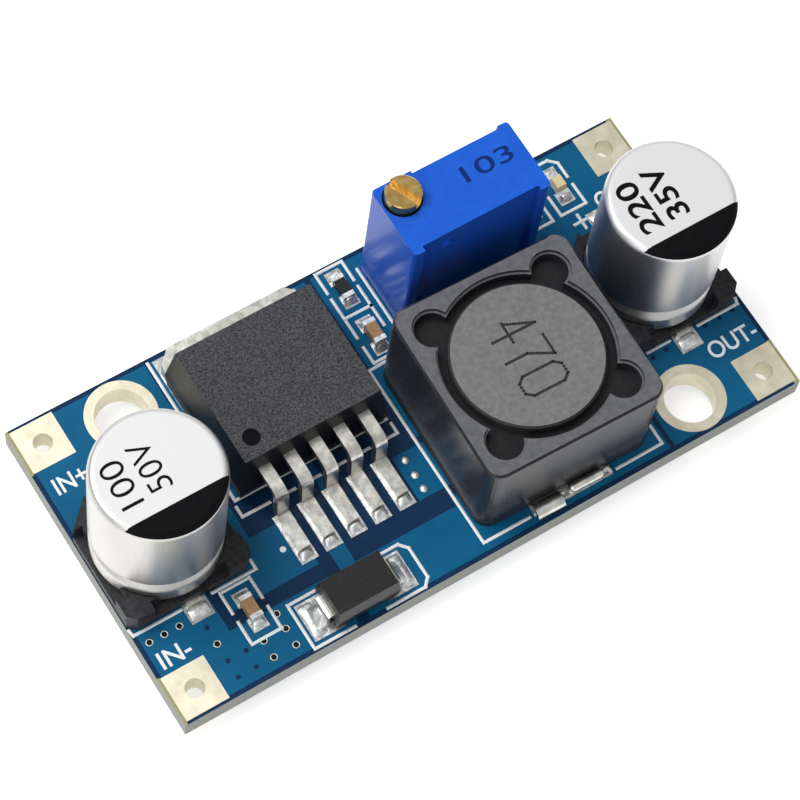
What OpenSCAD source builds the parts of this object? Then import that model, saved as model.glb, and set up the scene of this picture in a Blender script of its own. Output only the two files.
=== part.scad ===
// Adjustable step-down converter module: a plated circuit board with its capacitors,
// regulator, shielded coil, multi-turn trimmer and small chips.
// X runs from the input end to the output end, Z is up, and the origin is below the
// centre of the board, level with the tips of the trimmer's pins.

/* [Board] */
// Thickness of the circuit board
board_t = 1.6; // [1:0.1:2.4]
// Thickness of the tinned copper on pads and in plated holes
plate_t = 0.05; // [0.03:0.01:0.1]
// Thickness of a soldered land under a component
land_t = 0.1; // [0.06:0.01:0.2]
// Gap from the input edge of the board to the input capacitor
in_edge_gap = 0.05; // [0:0.05:4]
// Gap from the output edge of the board to the output capacitor
out_edge_gap = 0.35; // [0:0.05:4]
// Gap from the input capacitor to the regulator
cap_reg_gap = 1.39; // [0.8:0.01:4]
// Gap from the regulator to the inductor
reg_ind_gap = 1.3; // [0.6:0.05:4]
// Gap from the inductor to the output capacitor
ind_cap_gap = 1.5; // [0.4:0.05:4]
// Gap from the front edge of the board to the inductor
ind_edge_gap = 1.37; // [1:0.01:4]
// Gap from the inductor to the trimmer
ind_trim_gap = 1.63; // [1.1:0.01:4]
// Gap from the trimmer to the back edge of the board
trim_edge_gap = 1.13; // [0.2:0.01:4]

/* [Holes] */
// Finished radius of the two mounting holes
mount_hole_r = 1.65; // [1:0.05:2]
// Width of the plated ring round a mounting hole
mount_ring_w = 0.6; // [0.3:0.05:0.75]
// Distance of a mounting hole beyond the middle of the input capacitor
mount_from_cap = 2.33; // [1.6:0.01:3]
// Bare strip between a mounting ring and the side of the board
ring_edge_gap = 0.18; // [0.1:0.01:1]
// Finished radius of the four wire holes
wire_hole_r = 0.6; // [0.3:0.05:1]
// Length of a wire pad along the board
wire_pad_l = 2.85; // [2.2:0.05:3.2]
// Width of a wire pad across the board
wire_pad_w = 3; // [2.2:0.05:3.2]
// Bare strip between a wire pad and both edges of the board
pad_edge_gap = 0.18; // [0.1:0.01:0.6]

/* [Electrolytic capacitors] */
// Diameter of a capacitor can
cap_d = 8; // [6.3:0.1:10]
// Height of a capacitor over its seat
cap_h = 10.7; // [5:0.1:13]
// How much wider the square plastic base is than the can
cap_base_margin = 0.3; // [0.2:0.05:0.6]
// Height of the base at its corners
cap_base_h = 1.7; // [1.2:0.1:2.2]
// Thickness of the base under the can
cap_floor_t = 0.9; // [0.6:0.05:1.4]
// Cut on the two corners at the positive side
cap_corner_cut = 1.7; // [0.6:0.1:2.2]
// Cut on the two corners at the negative side
cap_small_cut = 0.5; // [0.2:0.1:1]
// Depth of the crimp groove round the can
crimp_depth = 0.35; // [0.1:0.05:0.6]
// Width of a terminal strip
cap_lead_w = 0.95; // [0.6:0.05:1.3]
// Thickness of a terminal strip
cap_lead_t = 0.25; // [0.15:0.05:0.4]
// How far a terminal strip reaches out of the base
cap_lead_out = 0.35; // [0.1:0.05:0.8]
// Clearance between the can and its seat in the base
cap_clear = 0.04; // [0.02:0.01:0.07]

/* [Regulator] */
// Width of the regulator's moulded body
reg_w = 10.16; // [9.4:0.01:12.4]
// Length of the moulded body
reg_l = 8.75; // [7.3:0.05:9.4]
// Height of the moulded body
reg_h = 4.45; // [3.7:0.05:5.4]
// Slope taken off each flank from the parting line to the top
reg_draft = 0.45; // [0.1:0.05:0.6]
// Thickness of the metal tab
tab_t = 1.27; // [1:0.01:1.6]
// How far the tab stands out behind the body
tab_out = 1.5; // [0.8:0.05:2]
// Cut on the tab's two outer corners
tab_cut = 0.9; // [0.3:0.05:1.2]
// Gap from the tab to the back edge of the board
tab_edge_gap = 0.48; // [0.2:0.01:2]
// Spacing of the five leads
lead_pitch = 1.7; // [1.5:0.01:1.9]
// Width of a lead
lead_w = 0.8; // [0.5:0.01:0.96]
// Thickness of a lead
lead_t = 0.5; // [0.4:0.01:0.6]
// Height of a lead's middle where it leaves the body
lead_exit_h = 2.75; // [2.2:0.05:3.4]
// Straight run of a lead before its bend
lead_run = 1.3; // [0.8:0.05:1.6]
// Reach of a lead from the body to the toe
lead_reach = 4.6; // [3.9:0.05:5.4]
// Length of a lead's foot
foot_l = 2.2; // [1.4:0.05:2.4]
// Diameter of the round mark by the first lead
dimple_d = 1.1; // [0.6:0.1:1.6]

/* [Inductor] */
// Side of the square ferrite shield along the board
ind_l = 12.05; // [10:0.05:14.5]
// Side of the shield across the board
ind_w = 12.05; // [10:0.05:14.5]
// Height of the inductor
ind_h = 7.4; // [6.2:0.1:9]
// Height of the moulded base under the shield
ind_base_h = 0.7; // [0.6:0.05:1.2]
// Radius of the shield's upright corners
ind_corner_r = 1; // [0.4:0.1:1.6]
// Bevel on the shield's top edge
ind_bevel = 0.14; // [0.05:0.01:0.3]
// Thinnest wall of the shield, beside its round opening
shield_wall = 0.745; // [0.6:0.005:1.2]
// Gap between the drum core and the shield
core_gap = 0.6; // [0.2:0.02:0.8]
// Radius of the four corner lobes of the opening
lobe_r = 1.12; // [0.8:0.02:1.2]
// Distance of a lobe's centre beyond the rim of the opening
lobe_out = 0.448; // [0.2:0.002:0.5]
// Turn of the inductor on its lands, in degrees
ind_turn = -1.3; // [-3:0.1:3]
// Width of each soldered terminal
ind_term_w = 5.4; // [4:0.1:7]
// How far each terminal stands out of the base
ind_term_out = 0.6; // [0.3:0.05:0.9]

/* [Trimmer] */
// Distance of the trimmer's middle from the inductor's middle along the board
trim_shift = 1.54; // [0.6:0.02:2]
// Length of the trimmer housing
trim_l = 9.53; // [8.2:0.01:11.5]
// Width of the trimmer housing
trim_w = 4.9; // [4.6:0.05:5.9]
// Height of the trimmer housing
trim_h = 10; // [8.3:0.05:12]
// Thickness of the housing's long walls
trim_wall = 0.5; // [0.4:0.05:0.6]
// Thickness of the housing's end walls
trim_end_wall = 0.6; // [0.45:0.05:0.8]
// Thickness of the housing's roof
trim_roof = 0.9; // [0.7:0.05:1.1]
// Width of the upright ribs at the ends of the faces
trim_rib = 0.72; // [0.5:0.02:0.9]
// Depth of the front face behind its ribs
front_recess = 0.36; // [0.1:0.02:0.4]
// Depth of the back face behind its ribs
back_recess = 0.18; // [0.05:0.01:0.2]
// Wall between the screw's counterbore and the housing's end
screw_end_wall = 0.14; // [0.1:0.01:0.4]
// Wall between the screw's counterbore and the housing's back
screw_side_wall = 0.11; // [0.08:0.01:0.3]
// Radius of the adjusting screw's head
screw_head_r = 1.12; // [0.9:0.01:1.3]
// How far the head stands over the housing
screw_head_up = 0.9; // [0.3:0.05:1.5]
// Width of the screwdriver slot
slot_w = 0.5; // [0.3:0.05:0.7]
// Depth of the screwdriver slot
slot_d = 0.6; // [0.3:0.05:0.9]
// Direction of the slot, in degrees from X
slot_turn = -66; // [-90:1:90]
// Clearance round the moving parts of the trimmer
run_clear = 0.05; // [0.02:0.01:0.08]
// Tooth module of the worm and its wheel
tooth_module = 0.22; // [0.18:0.01:0.26]
// Pitch radius of the worm
worm_r = 0.58; // [0.5:0.01:0.7]
// Spacing of the trimmer's three pins
pin_pitch = 2.54; // [2:0.01:2.6]
// Diameter of a trimmer pin
pin_d = 0.5; // [0.4:0.02:0.7]
// Drilled radius of the hole for a pin
pin_hole_r = 0.45; // [0.4:0.01:0.6]
// How far the pins reach below the board
pin_below = 0.9; // [0.5:0.05:2]

/* [Diode] */
// Length of the diode's body
diode_l = 4.3; // [3.8:0.1:4.6]
// Width of the diode's body
diode_w = 2.6; // [2.2:0.05:2.8]
// Height of the diode's body over its seat
diode_h = 2.2; // [1.8:0.05:2.5]
// Width of the diode's leads
diode_lead_w = 1.45; // [1:0.05:1.8]
// Distance of the diode's middle before the regulator's middle, along the board
diode_from_reg = 2.22; // [1.6:0.02:3]
// Distance of the diode's middle from the front edge of the board
diode_inset = 1.78; // [1.5:0.01:2]

/* [Chips] */
// Length of a small chip
chip_l = 1.6; // [1.3:0.05:1.7]
// Width of a small chip
chip_w = 0.8; // [0.6:0.05:1]
// Height of a ceramic capacitor chip
ceramic_h = 0.8; // [0.5:0.05:1]
// Height of a resistor chip
resistor_h = 0.45; // [0.35:0.05:0.6]
// Height of the indicator lamp's lens over its base
lens_h = 0.42; // [0.2:0.02:0.6]
// Distance of the two chips behind the regulator's side from that side
chip_reg_gap = 2.45; // [2:0.05:2.6]
// Distance of the divider resistor's middle from the back edge of the board
divider_inset = 1.88; // [1.6:0.02:2.2]
// Distance between the two chips by the trimmer
chip_spacing = 3.6; // [3:0.1:4.4]
// Distance of the input chip beside the input capacitor's middle
in_chip_aside = 2.58; // [2.2:0.02:3.2]
// Distance of the input chip before the input capacitor's middle
in_chip_before = 6.4; // [6.2:0.05:6.8]
// Distance of the lamp's middle from the output end of the board
lamp_inset_x = 5.65; // [5.2:0.05:6.4]
// Distance of the lamp's middle from the back edge of the board
lamp_inset_y = 2.48; // [2:0.02:2.6]
// Distance between the lamp and its resistor
lamp_spacing = 2.5; // [1.6:0.1:2.6]

/* [Hidden] */
$fn = 64;
eps = 0.01;

cap_base_w = cap_d + cap_base_margin;

// Board outline, worked out from what stands on it, with x and y from its front input corner
board_l = in_edge_gap + cap_base_w + cap_reg_gap + reg_w + reg_ind_gap + ind_l
    + ind_cap_gap + cap_base_w + out_edge_gap;
board_w = ind_edge_gap + ind_w + ind_trim_gap + trim_w + trim_edge_gap;
under_z = pin_below;
top_z = under_z + board_t;

// Places of the components
in_cap_x = in_edge_gap + cap_base_w / 2;
out_cap_x = board_l - out_edge_gap - cap_base_w / 2;
cap_y = board_w / 2;
mount_inset_x = in_cap_x + mount_from_cap;
mount_inset_y = ring_edge_gap + mount_ring_w + mount_hole_r;
wire_inset_x = pad_edge_gap + wire_pad_l / 2;
wire_inset_y = pad_edge_gap + wire_pad_w / 2;
reg_x = in_edge_gap + cap_base_w + cap_reg_gap + reg_w / 2;
tab_back_y = board_w - tab_edge_gap;
reg_back_y = tab_back_y - tab_out;
reg_front_y = reg_back_y - reg_l;
toe_y = reg_front_y - lead_reach;
ind_x = reg_x + reg_w / 2 + reg_ind_gap + ind_l / 2;
ind_y = ind_edge_gap + ind_w / 2;
trim_x = ind_x + trim_shift;
trim_y = board_w - trim_edge_gap - trim_w / 2;
diode_x = reg_x - diode_from_reg;
diode_y = diode_inset;
chip_x = reg_x + reg_w / 2 + chip_reg_gap;
divider_y = board_w - divider_inset;
feedback_y = divider_y - chip_spacing;
in_chip_x = in_cap_x + in_chip_aside;
in_chip_y = cap_y - in_chip_before;
lamp_x = board_l - lamp_inset_x;
lamp_resistor_x = lamp_x - lamp_spacing;
lamp_y = board_w - lamp_inset_y;

// Lands
reg_land_start = 1.6;
reg_land_side = 0.08;
chip_land_l = 0.95;
chip_land_w = 1.05;
chip_land_mid = 0.875;
cap_land_l = 3.3;
cap_land_w = 1.55;
cap_land_out = 1.35;
lead_land_w = 1.15;
lead_land_front = 0.75;
lead_land_back = 0.5;
diode_land_l = 2.1;
diode_land_w = 2.5;
diode_land_out = 1.4;
ind_land_w = 5.6;
ind_land_out = 0.72;
ind_land_l = 2.4;

// Capacitor details
cap_r = cap_d / 2;
shoulder_r = 0.5;
rolled_r = 0.3;
crimp_z = cap_floor_t + 2;
crimp_half = 0.6;
cap_lead_root = 1.55;
cap_lead_root_t = 0.3;
side_window = 0.62;
window_sill = 0.25;
window_depth = 0.9;

// Regulator details
lead_bend_r = 0.5;
lead_root_l = 1.2;
tab_land_side = 0.1;
tab_side_inset = 0.13;
tab_front_inset = 1.9;
riser_grip = 0.2;
dimple_depth = 0.12;
dimple_inset = 1.35;

// Inductor details
opening_r = min(ind_l, ind_w) / 2 - shield_wall;
core_r = opening_r - core_gap;
lobe_pos = (opening_r + lobe_out) / sqrt(2);
rim_step_w = 0.14;
rim_step_d = 0.25;
core_drop = 0.12;
flange_t = 1.35;
waist_r = 2.4;
filler_drop = 0.95;
filler_t = 0.6;
core_edge = 0.12;
wire_depth = 0.7;
ind_term_t = 0.15;
ind_term_grip = 1.5;
ind_term_clear = 0.02;
tongue_x = -1.65;
tongue_r = 0.55;
tongue_l = 1.9;
wire_end_x = 1.15;
wire_end_l = 1.8;
ind_wire_r = 0.32;

// Trimmer details
cavity_x = trim_l / 2 - trim_end_wall;
cavity_front = -trim_w / 2 + front_recess + trim_wall;
cavity_back = trim_w / 2 - back_recess - trim_wall;
roof_z = trim_h - trim_roof;
counterbore_clear = 0.1;
counterbore_d = 0.6;
counterbore_r = screw_head_r + counterbore_clear;
screw_x = -trim_l / 2 + screw_end_wall + counterbore_r;
screw_y = trim_w / 2 - screw_side_wall - counterbore_r;
boss_l = 2.75;
boss_wall = 0.36;
head_edge = 0.06;
neck_r = screw_head_r - 0.09;
neck_bottom = trim_h - 2.1;
neck_reach = neck_r + run_clear + boss_wall;
nub_r = 0.38;
nub_x = -2.2;
nub_z = trim_h - 1.5;
nub_out = 0.16;
seal_z = trim_h - 1.35;
seal_tube_r = 0.2;
seal_clear = 0.01;
seal_r = neck_r + run_clear - seal_tube_r - seal_clear;
seal_groove_r = seal_r - seal_tube_r - seal_clear;
seal_groove_half = seal_tube_r + 3 * seal_clear;
potting_bottom = 0.35;
potting_top = 1.5;
tooth_out = 0.82 * tooth_module;
tooth_in = 1.15 * tooth_module;
wheel_room_x = cavity_x - screw_x - worm_r - tooth_out - run_clear;
wheel_room_z = roof_z - potting_top - 2 * (tooth_out + run_clear);
wheel_teeth = floor(min(wheel_room_x, wheel_room_z) / tooth_module);
wheel_r = tooth_module * wheel_teeth / 2;
wheel_x = screw_x + worm_r + wheel_r;
wheel_z = (potting_top + roof_z) / 2;
wheel_w = 0.7;
worm_lead = 2 * PI * wheel_r / wheel_teeth;
worm_throw = 0.9 * tooth_module;
worm_core_r = worm_r - 0.02;
worm_steps_per_turn = 8;
shaft_r = 0.36;
pivot_r = 0.36;
pivot_bottom = 1.95;
pivot_block_bottom = 1.7;
pivot_block_top = 3.2;
pivot_reach = pivot_r + run_clear + boss_wall;
worm_bottom = pivot_block_top + 0.1;
worm_top = neck_bottom - 0.6;
element_t = 0.62;
element_front = cavity_front;
element_back = element_front + element_t;
rotor_front = element_back + 0.62;
rotor_r = wheel_r - 0.4;
axle_r = 0.55;
axle_seat = 0.22;
collar_r = 1;
spindle_r = 0.4;
spindle_l = 0.3;
wiper_t = 0.12;
wiper_plate_r = 1.1;
wiper_arm_w = 0.8;
wiper_arm_l = rotor_r - 0.4;
wiper_tip_r = 0.15;
pin_top = 2.35;
pin_crank_z = 0.95;
stand_off_l = 3.2;
joint_h = 0.75;
joint_r = 0.95;
joint_edge = 0.06;

// Diode details
diode_lift = 0.3;
diode_lead_t = 0.2;
diode_lead_exit = 1.15;
diode_draft = 0.15;

// Chip details
end_wrap = 0.3;
end_skin = 0.03;
lamp_base_h = 0.3;
lens_l = 1.05;

module on_board(x, y, z = 0) {
    translate([x - board_l / 2, y - board_w / 2, top_z + z]) children();
}

module box(size, z = 0) {
    translate([-size[0] / 2, -size[1] / 2, z]) cube(size);
}

// Corner points of a rectangle with its corners rounded by arcs
function rounded(l, w, r, steps = 6) = [
    for (q = [0 : 3], s = [0 : steps])
        let (a = 90 * q + 90 * s / steps,
            cx = (q == 0 || q == 3 ? 1 : -1) * (l / 2 - r),
            cy = (q < 2 ? 1 : -1) * (w / 2 - r))
        [cx + r * cos(a), cy + r * sin(a)]
];

// ---- board ----

module mount_place(end) {
    if (end == "in") on_board(mount_inset_x, board_w - mount_inset_y) children();
    if (end == "out") on_board(board_l - mount_inset_x, mount_inset_y) children();
}

module wire_place(end, side) {
    on_board(end == "in" ? wire_inset_x : board_l - wire_inset_x,
        side == "minus" ? wire_inset_y : board_w - wire_inset_y) children();
}

module pin_place(i) {
    on_board(trim_x + (i - 2) * pin_pitch, trim_y) children();
}

module through(r) {
    translate([0, 0, -board_t - 1]) cylinder(r = r, h = board_t + 2);
}

module circuit_board() {
    color("#1565a0") difference() {
        translate([-board_l / 2, -board_w / 2, under_z]) cube([board_l, board_w, board_t]);
        for (end = ["in", "out"]) {
            mount_place(end) through(mount_hole_r);
            for (side = ["minus", "plus"]) wire_place(end, side) through(wire_hole_r);
        }
        for (i = [1 : 3]) pin_place(i) through(pin_hole_r);
    }
}

// Plating of a hole: a land on each face of the board, open at the finished hole
module plated_hole(r) {
    difference() {
        union() {
            children();
            translate([0, 0, -board_t - plate_t]) children();
        }
        through(r);
    }
}

module wire_pad(end, side) {
    color("#e6e0cc") wire_place(end, side) plated_hole(wire_hole_r)
        box([wire_pad_l, wire_pad_w, plate_t]);
}

module mount_ring(end) {
    color("#e6e0cc") mount_place(end) plated_hole(mount_hole_r)
        cylinder(r = mount_hole_r + mount_ring_w, h = plate_t);
}

module chip_lands() {
    for (s = [-1, 1]) translate([0, s * chip_land_mid]) box([chip_land_w, chip_land_l, land_t]);
}

module cap_lands() {
    for (s = [-1, 1])
        translate([0, s * (cap_base_w / 2 + cap_land_out - cap_land_l / 2)])
            box([cap_land_w, cap_land_l, land_t]);
}

module regulator_lands() {
    for (i = [-2 : 2])
        on_board(reg_x + i * lead_pitch, toe_y + (foot_l - lead_land_front + lead_land_back) / 2)
            box([lead_land_w, foot_l + lead_land_front + lead_land_back, land_t]);
    tab_land_front = reg_front_y + reg_land_start;
    tab_land_back = tab_back_y + tab_land_side;
    on_board(reg_x, (tab_land_front + tab_land_back) / 2)
        box([reg_w - 2 * reg_land_side, tab_land_back - tab_land_front, land_t]);
}

module component_lands() {
    color("#d9d9d6") {
        on_board(in_cap_x, cap_y) cap_lands();
        on_board(out_cap_x, cap_y) cap_lands();
        regulator_lands();
        for (s = [-1, 1]) {
            on_board(diode_x + s * (diode_l / 2 + diode_land_out - diode_land_l / 2), diode_y)
                box([diode_land_l, diode_land_w, land_t]);
            on_board(ind_x, ind_y + s * (ind_w / 2 + ind_land_out - ind_land_l / 2))
                box([ind_land_w, ind_land_l, land_t]);
        }
        on_board(in_chip_x, in_chip_y) chip_lands();
        on_board(chip_x, divider_y) chip_lands();
        on_board(chip_x, feedback_y) chip_lands();
        on_board(lamp_x, lamp_y) chip_lands();
        on_board(lamp_resistor_x, lamp_y) chip_lands();
    }
}

// ---- electrolytic capacitors, negative side towards -Y ----

module cap_can(x) {
    crimp_r = cap_r - crimp_depth;
    color("#dededb") on_board(x, cap_y, land_t) rotate_extrude() polygon(concat(
        [[0, cap_floor_t]],
        [for (s = [0 : 4]) let (a = -90 + 18 * s)
            [cap_r - rolled_r + rolled_r * cos(a), cap_floor_t + rolled_r + rolled_r * sin(a)]],
        [for (s = [0 : 8]) let (t = s / 8)
            [crimp_r + crimp_depth * pow(cos(180 * t), 2), crimp_z + crimp_half * (2 * t - 1)]],
        [for (s = [0 : 6]) let (a = 15 * s)
            [cap_r - shoulder_r + shoulder_r * cos(a), cap_h - shoulder_r + shoulder_r * sin(a)]],
        [[0, cap_h]]));
}

// Moulded base: the can sits in a round seat that opens through the middle of each side
module cap_base(x) {
    h = cap_base_w / 2;
    strip_slot_w = cap_lead_w + 2 * cap_clear;
    root = cap_lead_root - cap_clear;
    color("#29292c") on_board(x, cap_y, land_t) difference() {
        linear_extrude(cap_base_h) polygon([
            [-h + cap_small_cut, -h], [h - cap_small_cut, -h], [h, -h + cap_small_cut],
            [h, h - cap_corner_cut], [h - cap_corner_cut, h], [-h + cap_corner_cut, h],
            [-h, h - cap_corner_cut], [-h, -h + cap_small_cut]]);
        translate([0, 0, cap_floor_t]) cylinder(r = cap_r + cap_clear, h = cap_base_h);
        for (a = [0 : 90 : 270]) rotate([0, 0, a]) translate([0, h, cap_floor_t - window_sill])
            box([cap_d * side_window, 2 * (h - cap_r) + window_depth, cap_base_h]);
        for (s = [-1, 1]) {
            translate([0, s * (root + h + 1) / 2, -1]) box([strip_slot_w, h + 1 - root, 1 + cap_lead_t]);
            translate([0, s * (cap_lead_root + cap_lead_root_t / 2), -1])
                box([strip_slot_w, cap_lead_root_t + 2 * cap_clear, cap_floor_t + 2]);
        }
    }
}

// One strip: its upright root meets the can and its foot runs out under the base
module cap_terminal(x, s) {
    strip_l = cap_base_w / 2 + cap_lead_out - cap_lead_root;
    color("#cfcdc8") on_board(x, cap_y, land_t) {
        translate([0, s * (cap_lead_root + strip_l / 2)]) box([cap_lead_w, strip_l, cap_lead_t]);
        translate([0, s * (cap_lead_root + cap_lead_root_t / 2)])
            box([cap_lead_w, cap_lead_root_t, cap_floor_t]);
    }
}

// ---- regulator ----

module regulator_body() {
    color("#2b2b2e") on_board(reg_x, (reg_front_y + reg_back_y) / 2, land_t) difference() {
        hull() {
            box([reg_w - 0.2, reg_l - 0.2, eps], 0.06);
            box([reg_w, reg_l, eps], tab_t);
            box([reg_w - 2 * reg_draft, reg_l - 2 * reg_draft * 0.8, eps], reg_h - eps);
        }
        translate([-reg_w / 2 + reg_draft + dimple_inset - 0.2,
            -reg_l / 2 + reg_draft + dimple_inset - 0.2, reg_h - dimple_depth])
            cylinder(d = dimple_d, h = 1);
        translate([0, -(reg_front_y + reg_back_y) / 2, 0]) {
            regulator_tab_plate();
            for (i = [-2 : 2]) translate([i * lead_pitch, 0, 0]) regulator_lead();
            lead_riser();
        }
    }
}

// Tab in the x of the regulator's middle, the y of the board and the z of its seat
module regulator_tab_plate() {
    w = reg_w / 2 - tab_side_inset;
    y0 = reg_front_y + tab_front_inset;
    linear_extrude(tab_t) polygon([[-w, y0], [w, y0], [w, tab_back_y - tab_cut],
        [w - tab_cut, tab_back_y], [-w + tab_cut, tab_back_y], [-w, tab_back_y - tab_cut]]);
}

// Centre line of a lead from its root to its toe, as [y, z]
function lead_path() = let (
        y0 = reg_front_y + lead_root_l,
        y1 = reg_front_y - lead_run,
        low = lead_t / 2,
        heel = toe_y + foot_l,
        r = lead_bend_r,
        drop = lead_exit_h - low,
        run = y1 - heel,
        straight = sqrt(pow(drop - 2 * r, 2) + run * run - 4 * r * r),
        slope = atan2(2 * r, straight) + atan2(drop - 2 * r, run))
    concat([[y0, lead_exit_h]],
        [for (s = [0 : 5]) let (a = slope * s / 5) [y1 - r * sin(a), lead_exit_h - r * (1 - cos(a))]],
        [for (s = [5 : -1 : 0]) let (a = slope * s / 5) [heel + r * sin(a), low + r * (1 - cos(a))]],
        [[toe_y, low]]);

function side_step(p, i) = let (
        a = p[max(i - 1, 0)], b = p[min(i + 1, len(p) - 1)], d = b - a)
    [d[1], -d[0]] / norm(d);

// A strip of even thickness along a path of [y, z] points, as an outline
function strip_outline(p, t) = concat(
    [for (i = [0 : len(p) - 1]) p[i] + side_step(p, i) * t / 2],
    [for (i = [len(p) - 1 : -1 : 0]) p[i] - side_step(p, i) * t / 2]);

module regulator_lead() {
    translate([-lead_w / 2, 0, 0]) rotate([90, 0, 90])
        linear_extrude(lead_w) polygon(strip_outline(lead_path(), lead_t));
}

module lead_riser() {
    translate([-lead_w / 2, reg_front_y + lead_root_l, 0])
        cube([lead_w, tab_front_inset + riser_grip - lead_root_l, lead_exit_h + lead_t / 2]);
}

module regulator_lead_at(i) {
    color("#c9c5b8") on_board(reg_x + (i - 3) * lead_pitch, 0, land_t) regulator_lead();
}

module regulator_tab() {
    color("#ddd6c2") on_board(reg_x, 0, land_t) {
        regulator_tab_plate();
        regulator_lead();
        lead_riser();
    }
}

// ---- inductor ----

module on_inductor() {
    on_board(ind_x, ind_y) rotate([0, 0, ind_turn]) children();
}

module shield_opening(r) {
    circle(r = r);
    for (sx = [-1, 1], sy = [-1, 1])
        translate([sx * lobe_pos, sy * lobe_pos]) circle(r = lobe_r + r - opening_r);
}

module inductor_shield() {
    color("#4b4b50") on_inductor() difference() {
        hull() {
            translate([0, 0, land_t + ind_base_h]) linear_extrude(ind_h - ind_base_h - ind_bevel)
                polygon(rounded(ind_l, ind_w, ind_corner_r));
            translate([0, 0, land_t + ind_h - eps]) linear_extrude(eps) polygon(
                rounded(ind_l - 2 * ind_bevel, ind_w - 2 * ind_bevel, ind_corner_r - ind_bevel));
        }
        linear_extrude(ind_h + 1) shield_opening(opening_r);
        translate([0, 0, land_t + ind_h - rim_step_d]) linear_extrude(1)
            shield_opening(opening_r + rim_step_w);
    }
}

module inductor_core() {
    top = ind_h - core_drop;
    color("#7d7d80") on_inductor() translate([0, 0, land_t]) rotate_extrude() polygon([
        [0, ind_base_h], [core_r, ind_base_h], [core_r, ind_base_h + flange_t],
        [waist_r, ind_base_h + flange_t], [waist_r, top - flange_t],
        [core_r, top - flange_t], [core_r, top - core_edge], [core_r - core_edge, top], [0, top]]);
}

module inductor_winding() {
    bottom = ind_base_h + flange_t;
    top = ind_h - core_drop - flange_t;
    turns = floor((top - bottom) / (2 * ind_wire_r));
    pitch = (top - bottom) / turns;
    color("#b5652b") on_inductor() translate([0, 0, land_t + bottom]) rotate_extrude() union() {
        translate([waist_r, 0]) square([core_r - waist_r - wire_depth, top - bottom]);
        for (i = [0 : turns - 1])
            translate([core_r - wire_depth, (i + 0.5) * pitch]) circle(r = pitch / 2, $fn = 32);
    }
}

module inductor_filler() {
    top = ind_h - filler_drop;
    color("#1d1d1f") on_inductor() translate([0, 0, land_t + top - filler_t])
        linear_extrude(filler_t) difference() {
            shield_opening(opening_r);
            circle(r = core_r);
        }
}

module inductor_base() {
    color("#26262a") on_inductor() translate([0, 0, land_t]) difference() {
        linear_extrude(ind_base_h) polygon(rounded(ind_l, ind_w, ind_corner_r));
        for (s = [-1, 1]) translate([0, s * ind_w / 2])
            box([ind_term_w + 2 * ind_term_clear, 2 * (ind_term_grip + ind_term_clear),
                2 * (ind_term_t + ind_term_clear)], -ind_term_t - ind_term_clear);
    }
}

// Strip in its notch under the base, with the formed tongue and the welded wire end
module inductor_terminal(s) {
    color("#cfcac0") on_inductor() translate([0, s * ind_w / 2, land_t]) {
        translate([0, s * (ind_term_out - ind_term_grip) / 2])
            box([ind_term_w, ind_term_grip + ind_term_out, ind_term_t]);
        translate([tongue_x, s * tongue_r, 0]) intersection() {
            rotate([0, 90, 0]) translate([0, 0, -tongue_l / 2]) cylinder(r = tongue_r, h = tongue_l);
            box([tongue_l, 2 * tongue_r, 2 * tongue_r]);
        }
        translate([wire_end_x, s * (ind_wire_r + ind_term_clear), ind_wire_r]) {
            rotate([0, 90, 0]) translate([0, 0, -wire_end_l / 2])
                cylinder(r = ind_wire_r, h = wire_end_l);
            for (e = [-1, 1]) translate([e * wire_end_l / 2, 0, 0]) sphere(r = ind_wire_r);
        }
    }
}

// ---- trimmer ----

module on_trimmer() {
    on_board(trim_x, trim_y) children();
}

module trimmer_outline() {
    hl = trim_l / 2;
    hw = trim_w / 2;
    difference() {
        polygon(rounded(trim_l, trim_w, 0.25));
        translate([-hl + trim_rib, -hw - 1]) square([trim_l - 2 * trim_rib, 1 + front_recess]);
        translate([-hl + boss_l, hw - back_recess])
            square([trim_l - boss_l - trim_rib, 1 + back_recess]);
    }
}

module screw_place() {
    translate([screw_x, screw_y, 0]) children();
}

// Block in the corner of the cavity that reaches round the screw
module screw_block(reach, bottom, top) {
    translate([-cavity_x - eps, screw_y - reach, bottom])
        cube([screw_x + cavity_x + reach + eps, cavity_back - screw_y + reach + eps, top - bottom]);
}

module trimmer_housing() {
    color("#2f74e0") on_trimmer() difference() {
        union() {
            difference() {
                linear_extrude(trim_h) trimmer_outline();
                translate([-cavity_x, cavity_front, -1])
                    cube([2 * cavity_x, cavity_back - cavity_front, roof_z + 1]);
            }
            screw_block(neck_reach, neck_bottom, roof_z + eps);
            screw_block(pivot_reach, pivot_block_bottom, pivot_block_top);
            translate([nub_x, -trim_w / 2 + front_recess + trim_wall / 2, nub_z])
                rotate([90, 0, 0]) cylinder(r = nub_r, h = trim_wall / 2 + nub_out, $fn = 32);
        }
        screw_place() {
            translate([0, 0, trim_h - counterbore_d])
                cylinder(r = counterbore_r, h = 2);
            translate([0, 0, neck_bottom - 1]) cylinder(r = neck_r + run_clear, h = trim_h);
            translate([0, 0, pivot_block_top])
                cylinder(r = worm_r + worm_throw + 2 * run_clear, h = neck_bottom - pivot_block_top);
            translate([0, 0, pivot_block_bottom - 1]) cylinder(r = pivot_r + run_clear, h = 4);
        }
        translate([wheel_x, cavity_back - 1, wheel_z]) rotate([-90, 0, 0])
            cylinder(r = axle_r + run_clear, h = 1 + axle_seat + run_clear);
        translate([0, 0, -1]) box([trim_l + 2, stand_off_l, 1 + potting_bottom]);
    }
}

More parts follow.
